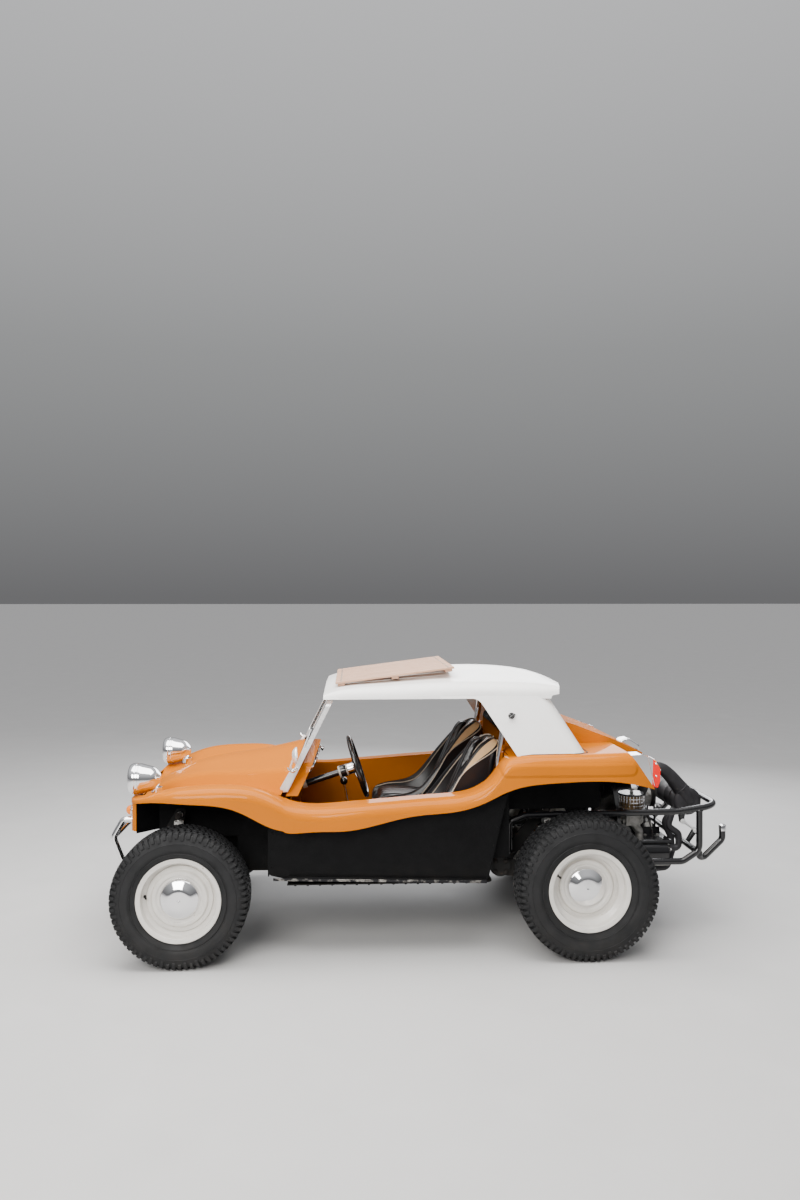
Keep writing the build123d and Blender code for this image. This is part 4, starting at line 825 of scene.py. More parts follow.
@dataclass
class HardTopTrim:
    """Seals, rear window rubber and turn catches of the hard top."""
    car: Car
    catch: Point = (1659.0, 637.0, 1216.0)
    # Rear face of the house: heights of its top and foot, and their places along the car.
    heights: Pair = (1310.0, 1000.0)
    places: Pair = (1864.0, 2056.0)

    def build(self) -> None:
        """Dress the hard top and add its trim."""
        self.car.dress("hardtop", WHITE)
        self.car.dress("rear_glass", PANE)
        self._seals()
        self._catches()

    def _rear_x(self, z: float) -> float:
        """Rear face of the house at a height."""
        t = (z - self.heights[0]) / (self.heights[1] - self.heights[0])
        return self.places[0] + (self.places[1] - self.places[0]) * t

    def _seals(self) -> None:
        """Rubber round the rear window and along the foot."""
        form = Form()
        window = bend_path([(-400, 1176, 40), (-385, 1290, 40), (385, 1290, 40), (400, 1176, 40)], 6)
        for lift, r in ((2.0, 6.5), (-7.0, 5.0)):
            form.tube([(self._rear_x(z) + lift, y, z) for y, z in window], r, 8, loop=True)
        foot = [(1700, 690, 1020), (1760, 690.5, 1025.5), (1850, 690, 1026.5), (1950, 689, 1027.5),
                (2010, 687, 1028.5), (2040, 670, 1029), (2052, 640, 1029), (2053, 560, 1029),
                (2053, 460, 1029), (2053, 352, 1029)]
        for sign in (-1, 1):
            form.tube([(x, sign * y * 0.996, z - 1.5) for x, y, z in foot], 3.2, 8)
        self.car.build("hardtop_seals", form, "panel_black", SEAL, smooth=70)

    def _catches(self) -> None:
        """Turn catches through the quarters, with their escutcheons and handles."""
        form = Form()
        x, y, z = self.catch
        spindle = [(0, 1), (17, 1), (17, 3), (12, 6), (7, 7), (7, 22), (0, 23)]
        for sign in (-1, 1):
            form.turn([(r, sign * w) for r, w in spindle], (x, sign * y, z), Axis.Y, 24)
            handle = [(x - 15, sign * (y + 18), z - 9), (x, sign * (y + 21), z),
                      (x + 16, sign * (y + 18), z + 10)]
            form.tube(handle, [4.5, 6.5, 5.5], 10)
        self.car.build("hardtop_catches", form, "chrome_trim", BLACK_ENAMEL, smooth=50)


@dataclass
class RoofBoard:
    """Slatted luggage board with its screws."""
    car: Car
    start: Pair = (760.0, 1365.0)
    pitch: float = 7.3
    length: float = 632.0
    thick: float = 9.0
    slats: int = 9
    spacing: float = 103.0
    screw_inset: float = 30.0

    def build(self) -> None:
        """Dress the slats and screw them to their battens."""
        self.car.dress("roof_slats", BOARD)
        form = Form()
        t = radians(self.pitch)
        for along in (self.screw_inset, self.length - self.screw_inset):
            x = self.start[0] + along * cos(t) - self.thick * sin(t)
            z = self.start[1] + along * sin(t) + self.thick * cos(t)
            for i in range(self.slats):
                for side in (-24, 24):
                    y = (i - (self.slats - 1) / 2) * self.spacing + side
                    form.turn([(5.2, -0.6), (4.8, 0.8), (2.6, 1.7), (0, 2.0)], (x, y, z), Axis.Z, 10)
        self.car.build("board_screws", form, "chrome_trim", ALLOY, smooth=60)


@dataclass
class Sides:
    """Stone-guarded side panels with their rivets and scuffed sill strips."""
    car: Car
    face_y: float = 660.3
    strip_y: float = 655.3

    def build(self) -> None:
        """Dress the panels and fix them."""
        heads = [(560 + 940 * k / 13, 410 - 24 * k / 13) for k in range(14)]
        heads += [(446, 470), (446, 560), (446, 640), (1548, 470), (1566, 560), (1588, 650), (1606, 740)]
        section = ((19.5, 0.6), (21.4, -0.4), (22.2, 5), (21.6, 12.5), (20.2, 13))
        for side, sign in SIDES:
            self.car.dress(f"side_panel_{side}", STONE_BLACK)
            rivets, strip = Form(), Form()
            rivet = [(0, sign * 3.2), (4.0, sign * 2.6), (6.5, 0), (7, sign * -0.5)]
            for x, z in heads:
                rivets.turn(rivet, (x, sign * self.face_y, z), Axis.Y, 10)
            strip.grid([[(x, sign * (self.strip_y + q), z + w) for q, w in section]
                        for x, z in ((452, 403), (800, 394), (1100, 386.5), (1526, 376))])
            self.car.build(f"panel_rivets_{side}", rivets, "panel_black", STONE_BLACK, smooth=60)
            self.car.build(f"sill_strip_{side}", strip, "panel_black", SCUFFED, smooth=50)


@dataclass
class Lamps:
    """Headlamps, tail lamps, nose indicators and the plate lamp."""
    car: Car
    mouth: Point = (-288.0, 450.0, 879.0)
    glass_r: float = 63.0
    tail_face: float = 1026.0
    tail_lens_x: float = 2357.0
    tail_slope: float = 0.23
    amber_foot: float = 936.0
    indicator: Point = (-298.0, 402.0, 706.0)

    def build(self) -> None:
        """Dress the lamps and add rims, lenses, gaskets and indicators."""
        for side, sign in SIDES:
            self.car.dress(f"headlamp_{side}", CHROME)
            self.car.dress(f"tail_lamp_{side}", CHROME, AMBER_LENS, RED_LENS, pick=self._tail)
            self._head(side, sign)
            self._tail_trim(side, sign)
            self._indicator(side, sign)
        self.car.dress("plate_lamp", CHROME, LAMP_GLASS, pick=lambda c, n: int(n.z < -0.4))

    def _tail(self, centre: Vector, normal: Vector) -> int:
        """Choose among the finishes of a tail lamp.

        Args:
            centre: the face's middle.
            normal: its direction.

        Returns:
            0 for the chrome body, 1 for the amber lens, 2 for the red one below it.
        """
        if centre.x < self.tail_lens_x + (self.tail_face - centre.z) * self.tail_slope:
            return 0
        return 1 if centre.z > self.amber_foot else 2

    def _head(self, side: str, sign: int) -> None:
        """Rim with its screw and a fluted, domed glass before a silvered bowl.

        Args:
            side: name of the side.
            sign: its direction across the car.
        """
        x, y, z = self.mouth[0], sign * self.mouth[1], self.mouth[2]
        rim, glass = Form(), Form()
        rim.turn([(61, -14), (64, -18.5), (68, -18), (73, -13), (77.5, -5), (80.2, 5), (80.8, 14),
                  (79.4, 19), (75, 17)], (x, y, z), Axis.X, 64)
        rim.turn([(79.5, 30), (80.4, 32), (79.5, 34)], (x, y, z), Axis.X, 56)
        rim.bolt((x + 2, y, z - 80), (0, 0, -1), 9)
        self.car.build(f"headlamp_rim_{side}", rim, "chrome_trim", CHROME, smooth=50)
        rows = []
        for r in (self.glass_r * i / 8 + 0.4 for i in range(9)):
            dome = x - 15 - 14 * (1 - (r / (self.glass_r + 0.5)) ** 2)
            ease = min(1.0, (self.glass_r - r) / 8 + 0.1)
            row = []
            for a in (2 * pi * k / 72 for k in range(72)):
                u, v = r * cos(a), r * sin(a)
                row.append((dome + 0.6 * sin(u * 0.62) * ease, y + u, z + v))
            rows.append(row)
        glass.grid(rows, caps=False)
        self.car.build(f"headlamp_glass_{side}", glass, "screen_glass", HEAD_GLASS, smooth=80)

    def _tail_trim(self, side: str, sign: int) -> None:
        """Gasket against the wing and bezels round the lens.

        Args:
            side: name of the side.
            sign: its direction across the car.
        """
        form, bezel = Form(), Form()
        slope = (2392 - 2250) / (836 - 1032)
        edge = bend_path([(564, 1014, 6), (662, 1014, 6), (662, 846, 6), (564, 846, 6)], 3)
        form.tube([(2250 + (z - 1032) * slope + 2.5, sign * y, z) for y, z in edge], 3.6, 8, loop=True)
        self.car.build(f"tail_gasket_{side}", form, "panel_black", SEAL, smooth=60)
        for start, end, r in (
            ((2361, 565.5, 1004), (2394, 565.5, 858), 2.4), ((2361, 660.5, 1004), (2394, 660.5, 858), 2.4),
            ((2394, 565, 990), (2394, 661, 990), 2.0), ((2426, 565, 936), (2426, 661, 936), 2.2),
        ):
            bezel.tube([(x, sign * y, z) for x, y, z in (start, end)], r, 8)
        for z in (905, 968):
            bezel.turn([(0, sign * 2.5), (4, sign * 2), (5.5, 0)], (2404, sign * 660, z), Axis.Y, 12)
        self.car.build(f"tail_bezel_{side}", bezel, "chrome_trim", CHROME, smooth=60)

    def _indicator(self, side: str, sign: int) -> None:
        """Small amber indicator on the nose.

        Args:
            side: name of the side.
            sign: its direction across the car.
        """
        form = Form()
        at = (self.indicator[0], sign * self.indicator[1], self.indicator[2])
        form.turn([(0, 2), (29, 2), (30, -4), (27, -12), (25, -13)], at, Axis.X, 36)
        form.turn([(25, -12), (24.5, -20), (20, -30), (11, -37), (0, -39)], at, Axis.X, 36, mark=1)
        self.car.build(f"indicator_{side}", form, "chrome_trim", CHROME, AMBER_LENS, smooth=60)


@dataclass
class Tubes:
    """Roll bar, front bumper and the cage round the engine."""
    car: Car
    stub: Point = (2838.0, 440.0, 596.0)
    radius: float = 17.0

    def build(self) -> None:
        """Dress the tubes and add caps, welds and clamps."""
        self.car.dress("roll_bar", CHROME)
        self.car.dress("front_bumper", CHROME)
        self.car.dress("rear_bumper", BLACK_ENAMEL)
        caps, welds, collars = Form(), Form(), Form()
        x, y, z = self.stub
        r = self.radius
        for sign in (-1, 1):
            caps.turn([(r + 1.6, -30), (r + 2.2, -2), (r + 0.4, 1.5), (r - 4, 3.5), (0, 4)],
                      (x, sign * y, z), Axis.Z, 28)
            for (wx, wy, wz), axis in (((2690, 483, 462), Axis.Y), ((2252, 136, 420), Axis.Y),
                                       ((2690, 500, 690), Axis.Z)):
                welds.turn([(r + 0.2, -5), (r + 3.4, -2), (r + 3.4, 2), (r + 0.2, 5)],
                           (wx, sign * wy, wz), axis, 24)
            for foot in ((1672, sign * 494, 484), (1616, sign * 489, 486)):
                welds.turn([(r + 14, -1), (r + 14, 3), (r + 2, 5), (r + 1, 12)], foot, Axis.Z, 28)
            for at in ((-298, sign * 400, 656), (-190, sign * 400, 390)):
                collars.turn([(17, -9), (27, -8), (27, -1), (17, 0)], at, Axis.X, 24)
                for rise in (22, -22):
                    collars.bolt((at[0] - 9, at[1], at[2] + rise), (-1, 0, 0), 11)
        self.car.build("cage_caps", caps, "chrome_trim", CHROME, smooth=50)
        self.car.build("cage_welds", welds, "tube_black", BLACK_ENAMEL, smooth=60)
        self.car.build("bumper_collars", collars, "chrome_trim", CHROME, smooth=50)


@dataclass
class Cabin:
    """Steering wheel, controls, instruments and mats."""
    car: Car
    wheel: Point = (877.0, -340.0, 914.0)
    tilt: float = 18.0
    rim_r: float = 160.0
    panel_foot: Pair = (505.0, 800.0)
    panel_rake: float = 26.5
    dash_depth: float = 62.0

    def build(self) -> None:
        """Dress the controls and add what the driver reads and holds."""
        self.car.dress("steering_column", BLACK_ENAMEL)
        self.car.dress("steering_wheel", BAKELITE, CHROME, pick=self._wheel_finish)
        self.car.dress("gear_lever", CHROME, BAKELITE, pick=lambda c, n: int(c.z > 745 or c.z < 512))
        self.car.dress("handbrake", CHROME, BAKELITE, pick=lambda c, n: int(c.x > 1148))
        self.car.dress("pedals", CHASSIS, SEAL, pick=lambda c, n: int(c.x > 425.5 and c.z > 544))
        self._hub()
        self._gauges()
        self._gaiters()
        self._mats()

    def _line(self) -> tuple[Vector, Vector]:
        """Directions along the column, towards the driver, and square to it."""
        t = radians(self.tilt)
        return Vector((cos(t), 0, sin(t))), Vector((-sin(t), 0, cos(t)))

    def _wheel_finish(self, centre: Vector, normal: Vector) -> int:
        """Choose among the finishes of the steering wheel.

        Args:
            centre: the face's middle.
            normal: its direction.

        Returns:
            0 for the black rim, 1 for the chrome spokes and hub.
        """
        offset = centre - Vector(self.wheel)
        along = offset.dot(self._line()[0])
        return int((offset.length_squared - along * along) ** 0.5 < self.rim_r - 13.5)

    def _hub(self) -> None:
        """Horn push with its chrome ring, and the column's collars."""
        push, collar = Form(), Form()
        axis, up = self._line()
        for form, down, profile, mark in (
            (push, 26, [(31, -4), (33, 0), (31, 5), (27, 7)], 1),
            (push, 26, [(27, 6), (25, 10), (14, 14), (0, 15)], 0),
            (collar, 106, [(17, -2), (31, 0), (33, 3), (33, 9), (28, 14), (17, 16)], 0),
            (collar, 64, [(14, -1), (32, 0), (32, 5), (26, 8), (14, 8)], 0),
            (collar, 300, [(17, -12), (23, -11), (23, 11), (17, 12)], 0),
        ):
            form.spin(profile, Vector(self.wheel) - axis * down, axis, up, mark)
        self.car.build("horn_push", push, "wheel_rim_black", BAKELITE, CHROME, body="steering_wheel",
                       smooth=50)
        self.car.build("column_collars", collar, "chassis_black", COLLAR, smooth=50)

    def _gauges(self) -> None:
        """Round instruments and switches on the panel's rear face."""
        form = Form()
        t = radians(self.panel_rake)
        out, up, side = Vector((cos(t), 0, -sin(t))), Vector((sin(t), 0, cos(t))), Vector((0, 1, 0))

        def face(y: float, z: float, lift: float = 0.0) -> Vector:
            """Point on the panel's rear face, lifted off it."""
            foot_x, foot_z = self.panel_foot
            return Vector((foot_x + (z - foot_z) * tan(t), y, z)) + out * (self.dash_depth + lift)

        for y, z, r in ((-340, 955, 44), (-232, 972, 27), (-160, 984, 27), (-88, 990, 27)):
            bezel = [(r + 4, 0), (r + 4, 5), (r, 8), (r - 4, 6), (r - 5, 3)]
            dial, pin = [(r - 4, 3.5), (0, 3.5)], [(4, 4), (4, 6.5), (0, 7)]
            for profile, mark in ((bezel, 1), (dial, 0), (pin, 1)):
                form.spin(profile, face(y, z), out, up, mark)
            for a in (radians(225 - 270 * k / 8) for k in range(9)):
                ray = up * sin(a) - side * cos(a)
                form.tube([face(y, z, 4) + ray * (r - 12), face(y, z, 4) + ray * (r - 6)], 0.8, 4, mark=2)
            a = radians(200)
            hand = face(y, z, 5.5)
            form.tube([hand, hand + (up * sin(a) - side * cos(a)) * (r - 9)], [1.6, 0.6], 6, mark=2)
        for mark, y in ((0, -20), (1, 16), (0, 52)):
            knob = [(11, 0), (11, 4), (6, 6), (5, 20), (8, 24), (7, 30), (0, 31)]
            form.spin(knob, face(y, 992), out, up, mark)
        self.car.build("instruments", form, "control_black", BAKELITE, CHROME, DIAL, smooth=50)

    def _gaiters(self) -> None:
        """Rubber boots of the gear lever and handbrake."""
        form = Form()
        profile = [(32, 504)]
        for k in range(5):
            profile += [(30 - 4 * k, 507 + k * 9), (25 - 4 * k, 511 + k * 9)]
        form.turn(profile + [(8, 556)], (803, 0, 0), Axis.Z, 28)
        form.tube([(962, 0, 508), (972, 0, 522), (990, 0, 532)], [26, 22, 12], 16)
        self.car.build("lever_boots", form, "control_black", SEAL, smooth=60)

    def _mats(self) -> None:
        """Ribbed rubber mats over the floor on both sides."""
        form = Form()
        for sign in (-1, 1):
            for x in range(560, 560 + 24 * 18, 18):
                rib = [(x, 377.6), (x + 16, 377.6), (x + 13, 381.5), (x + 3, 381.5)]
                form.prism(rib, Axis.Y, sign * 92, sign * 560)
        self.car.build("floor_mats", form, "panel_black", SEAL, smooth=30)


@dataclass
class RunningGear:
    """Axles, dampers, linkage and the floor's underside."""
    car: Car
    rear_axle: Pair = (2032.0, 356.0)
    pan_z: float = 372.0

    def build(self) -> None:
        """Dress the running gear and add boots, ribs, pipes and bolts."""
        self.car.dress("floor_pan", CHASSIS)
        self.car.dress("front_axle", CHASSIS, ALLOY, pick=lambda c, n: int(hypot(c.x, abs(c.y) - 540) < 13))
        self.car.dress("pitman_arm", CHASSIS)
        for side, _ in SIDES:
            self.car.dress(f"tie_rod_{side}", CHASSIS)
            for node, base, other, other_side in (
                ("knuckle", CHASSIS, IRON, lambda c, n: int(abs(c.y) > 640)),
                ("rear_axle", CHASSIS, IRON, lambda c, n: int(abs(c.y) > 590)),
                ("front_shock", BLACK_ENAMEL, SHOCK_SILVER, lambda c, n: int(c.z > 500)),
                ("rear_shock", BLACK_ENAMEL, SHOCK_SILVER, lambda c, n: int(c.z > 520)),
            ):
                self.car.dress(f"{node}_{side}", base, other, pick=other_side)
        self._boots()
        self._pan_ribs()
        self._pipes()
        self._studs()

    def _boots(self) -> None:
        """Bellows of the swing axles."""
        form = Form()
        profile = [(70, 121)]
        for k in range(7):
            profile += [(66 - 4 * k, 126 + k * 12), (57 - 4 * k, 132 + k * 12)]
        profile += [(37, 208), (37, 222), (34.5, 223)]
        x, z = self.rear_axle
        for sign in (-1, 1):
            form.turn([(r, sign * w) for r, w in profile], (x, 0, z), Axis.Y, 36)
        self.car.build("axle_boots", form, "chassis_black", SEAL, smooth=60)

    def _pan_ribs(self) -> None:
        """Pressed ribs, drain plates and the perimeter seam under the floor."""
        form = Form()
        z = self.pan_z
        for sign in (-1, 1):
            for y in (sign * (150 + 84 * k) for k in range(6)):
                form.grid([[(x, y - w, z + 0.1), (x, y - w * 0.6, z - d), (x, y + w * 0.6, z - d),
                            (x, y + w, z + 0.1)]
                           for x, w, d in ((610, 2, 0.0), (640, 15, 5.0), (1380, 15, 5.0), (1410, 2, 0.0))])
            for x in (640, 1300):
                form.turn([(0, z - 2), (44, z - 2), (46, z)], (x, sign * 360, 0), Axis.Z, 28)
        form.prism([(-78, z), (78, z), (74, z - 6), (-74, z - 6)], Axis.X, 560, 1560)
        for k in range(16):
            for sign in (-1, 1):
                form.bolt((560 + k * 62, sign * 640, z), (0, 0, -1), 11)
        self.car.build("pan_ribs", form, "chassis_black", CHASSIS, smooth=40)

    def _pipes(self) -> None:
        """Brake pipes along the front beam and to the wheels, and the pan's fuel line."""
        form = Form()
        form.tube([(-140, -400, 534), (-140, 400, 534)], 3, 8)
        form.tube([(300, 60, 368), (700, 60, 367), (1100, 60, 367), (1560, 60, 368)], 4, 8)
        for sign in (-1, 1):
            drop = ((-140, 400, 534), (-138, 440, 530), (-96, 476, 500), (-60, 486, 470))
            form.tube(eased([(x, sign * y, z) for x, y, z in drop], 4), 4.5, 8)
            form.bolt((-140, sign * 398, 536), (0, 0, 1), 12)
        self.car.build("brake_pipes", form, "chassis_black", SEAL, smooth=60)

    def _studs(self) -> None:
        """Bolts on the beam clamps, shock eyes, spring plates and torsion covers."""
        form = Form()
        heads = [(-46, 510, 694, 20), (-66, 510, 330, 20), (1880, 452, 696, 20), (1972, 457, 352, 20)]
        for t in (pi / 4 + k * pi / 2 for k in range(4)):
            heads.append((1620 + 38 * cos(t), 534, 418 + 38 * sin(t), 15))
        heads += [(x, 516, z, 14) for x, z in ((1940, 372), (1940, 340), (1985, 380), (1985, 334))]
        for sign in (-1, 1):
            for x, y, z, size in heads:
                form.bolt((x, sign * y, z), (0, sign, 0), size)
            for z in (385, 505):
                clamp = [(26, sign * 300), (31, sign * 302), (31, sign * 330), (26, sign * 332)]
                form.turn(clamp, (-140, 0, z), Axis.Y, 28)
                form.bolt((-172, sign * 316, z), (-1, 0, 0), 13)
        self.car.build("chassis_bolts", form, "chassis_black", IRON, smooth=40)


@dataclass
class Seat:
    """High-back bucket with padded bolsters, pleated cushion and back, and pale piping."""
    car: Car
    centre: float = 340.0
    skirt: float = 442.0
    floor: float = 377.3
    insert_gap: float = 74.0
    pad_rise: float = 34.0
    voxel: float = 0.007
    pressure: float = 4.0
    frames: int = 15
    cap: float = 0.010
    pleats: float = 62.0
    pleat_depth: float = 0.0055
    band_row: int = 7
    # Stations up the seat: pan x and z, crest x and z, back x and z, half width,
    # and the pale band's depth and width.
    stations: tuple[tuple[float, ...], ...] = (
        (972, 560, 966, 590, 972, 470, 222, 30, 1),
        (1000, 588, 994, 634, 1000, 446, 230, 30, 1),
        (1080, 598, 1080, 656, 1080, 442, 233, 30, 1),
        (1180, 594, 1176, 664, 1190, 440, 234, 30, 1),
        (1280, 590, 1246, 694, 1330, 440, 234, 30, 1),
        (1352, 632, 1300, 756, 1440, 478, 231, 24, 1),
        (1400, 730, 1356, 832, 1508, 610, 219, 16, 1),
        (1446, 834, 1412, 906, 1544, 752, 193, 8, 2),
        (1490, 936, 1466, 974, 1578, 866, 158, 5, 30),
        (1528, 1012, 1512, 1030, 1612, 962, 128, 3, 66),
        (1560, 1050, 1552, 1058, 1632, 1014, 112, 3, 68),
        (1588, 1068, 1582, 1070, 1634, 1040, 94, 3, 46),
        (1606, 1068, 1604, 1070, 1626, 1056, 66, 3, 24),
    )

    def build(self) -> None:
        """Make both seats."""
        shell, base, piping = self._shell(), self._base(), self._piping()
        pads = [self._pad("seat_cushion_right", 1, 5), self._pad("seat_back_right", 5, 10)]
        for side in ("right", "left"):
            cover, runners, cord = (f if side == "right" else f.mirrored() for f in (shell, base, piping))
            obj = self.car.build(f"seat_cover_{side}", cover, "seat_vinyl", VINYL, BEIGE, smooth=60,
                                 subdivide=2, replaces=[f"seat_shell_{side}"])
            self.car.build(f"seat_runners_{side}", runners, "seat_vinyl", CHASSIS, bevel=2.0)
            self.car.build(f"seat_piping_{side}", cord, "seat_cloth", PIPING, smooth=80)
        for pad in pads:
            twin = self._twin(pad)
            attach(twin, "chassis")
            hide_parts("seat_pad_right")
            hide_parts("seat_pad_left")

    def _half(self, row: Sequence[float]) -> list[Point]:
        """Points of one section from the middle of the pan round the outside to the middle of the back.

        Args:
            row: one row of stations.

        Returns:
            Points (x, y from the seat's middle, z).
        """
        sx, sz, cx, cz, bx, bz, w, depth, wide = row
        s, c, b = Vector((sx, sz)), Vector((cx, cz)), Vector((bx, bz))
        n = (b - c).normalized()
        thick = (b - c).length
        gap = min(self.insert_gap, w * 0.5)
        d1 = min(depth, thick * 0.3)
        d2 = min(d1 + wide, thick * 0.82)
        marks = [(s, 0.0), (s, (w - gap) * 0.55), (s, w - gap), (s.lerp(c, 0.3), w - gap + 9),
                 (s.lerp(c, 0.85), w - gap * 0.62), (c - n * 5, w - gap * 0.34), (c + n * 2, w - 7),
                 (c + n * d1, w), (c + n * d2, w + 1), (c + n * (d2 + 4), w + 1),
                 (b - n * min(30, thick * 0.2), w - 1), (b - n * 5, w - 14), (b, w - gap * 0.5),
                 (b + n * 2, w * 0.35), (b + n * 3, 0.0)]
        return [(p.x, y, p.y) for p, y in marks]

    def _shell(self) -> Form:
        """Padded shell with the pale band on each upper side.

        Returns:
            The right-hand shell.
        """
        form = Form()
        rows = []
        for row in self.stations:
            half = self._half(row)
            rows.append([(x, self.centre + y, z) for x, y, z in half]
                        + [(x, self.centre - y, z) for x, y, z in reversed(half[1:-1])])
        form.grid(rows)
        count = len(rows[0])
        for i, face in enumerate(form.faces):
            if len(face) == 4:
                row, k = divmod(i, count)
                form.marks[i] = int(row >= self.band_row and k in (7, count - 8))
        return form

    def _piping(self) -> Form:
        """Pale cord sewn along each crest and round the pale bands.

        Returns:
            The right-hand seat's piping.
        """
        form = Form()
        for sign in (1, -1):
            for index, start, lift in ((4, 1, 0.0), (8, 4, 1.0)):
                path = [self._half(row)[index] for row in self.stations[start:]]
                form.tube(eased([(x, self.centre + sign * (y + lift), z) for x, y, z in path]), 3.2, 8)
        return form

    def _base(self) -> Form:
        """Two runners and a cross frame between the seat and the floor.

        Returns:
            The right-hand seat's base.
        """
        form = Form()
        low, high, middle = self.floor, self.skirt + 4, self.centre
        runner = [(1050, low), (1430, low), (1430, low + 14), (1400, high), (1080, high), (1050, low + 14)]
        for y in (middle - 150, middle + 150):
            form.prism(runner, Axis.Y, y - 11, y + 11)
        for x in (1090, 1380):
            form.prism([(middle - 150, low + 8), (middle + 150, low + 8), (middle + 150, low + 34),
                        (middle - 150, low + 34)], Axis.X, x, x + 20)
        return form

    def _pad(self, name: str, start: int, end: int) -> Node:
        """Cushion or back insert between two stations, swelled and then sewn.

        Args:
            name: the piece's name.
            start: first station.
            end: last station.

        Returns:
            The right-hand pad.
        """
        form = Form()
        rows = []
        span = self.stations[start:end + 1]
        steps = eased([Vector((r[0], r[1], 0)) for r in span])
        widths = eased([Vector((r[6] - min(self.insert_gap, r[6] * 0.5), 0, 0)) for r in span])
        last = len(steps) - 1
        for i, (p, w) in enumerate(zip(steps, widths)):
            along = (steps[min(i + 1, last)] - steps[max(i - 1, 0)]).normalized()
            up = Vector((-along.y, along.x))
            ease = min(1.0, (min(i, last - i) + 0.6) / 2.4) ** 0.5
            half, rise = (w.x - 7) * (0.9 + 0.1 * ease), self.pad_rise * ease
            row = []
            for a in (2 * pi * k / 20 for k in range(20)):
                u = abs(cos(a)) ** 0.55 * (1 if cos(a) > 0 else -1)
                v = abs(sin(a)) ** 0.75 * (1 if sin(a) > 0 else -1)
                q = 9 + rise * 0.5 + v * rise * 0.5
                row.append((p.x + up.x * q, self.centre + u * half, p.y + up.y * q))
            rows.append(row)
        form.grid(rows)
        obj = self.car.build(name, form, "seat_cloth", VINYL, smooth=70)
        self._swell(obj)
        self._sew(obj)
        return obj

    def _swell(self, obj: Node) -> None:
        """Blow the pad up as cloth, with each point's movement capped.

        Args:
            obj: the pad; its mesh is remeshed and changed.
        """
        remesh = obj.modifiers.new("even mesh", "REMESH")
        remesh.mode = "VOXEL"
        remesh.voxel_size = self.voxel
        apply_modifiers(obj)
        before = [v.co.copy() for v in obj.data.vertices]
        settings = obj.modifiers.new("cover", "CLOTH").settings
        settings.use_pressure = True
        settings.uniform_pressure_force = self.pressure
        settings.effector_weights.gravity = 0.0
        settings.quality = 5
        for frame in range(1, self.frames + 1):
            bpy.context.scene.frame_set(frame)
        apply_modifiers(obj)
        bpy.context.scene.frame_set(1)
        for vertex, start in zip(obj.data.vertices, before):
            move = vertex.co - start
            if move.length > self.cap:
                vertex.co = start + move * (self.cap / move.length)
        for face in obj.data.polygons:
            face.use_smooth = True

    def _sew(self, obj: Node) -> None:
        """Draw lengthwise pleats into the pad.

        Args:
            obj: the swelled pad.
        """
        vertices = obj.data.vertices
        moves = []
        for vertex in vertices:
            across = vertex.co.y * 1000 - self.centre
            moves.append(vertex.normal * (-self.pleat_depth * cos(pi * across / self.pleats) ** 12))
        for vertex, move in zip(vertices, moves):
            vertex.co += move
        smoothing(obj, 1)

    def _twin(self, obj: Node) -> Node:
        """The left-hand copy of a right-hand pad.

        Args:
            obj: the finished right-hand pad.

        Returns:
            The mirrored copy.
        """
        mesh = obj.data.copy()
        mesh.transform(Matrix.Diagonal((1, -1, 1, 1)))
        mesh.flip_normals()
        twin = bpy.data.objects.new(obj.name.replace("right", "left"), mesh)
        bpy.context.scene.collection.objects.link(twin)
        smoothing(twin, 1)
        return twin


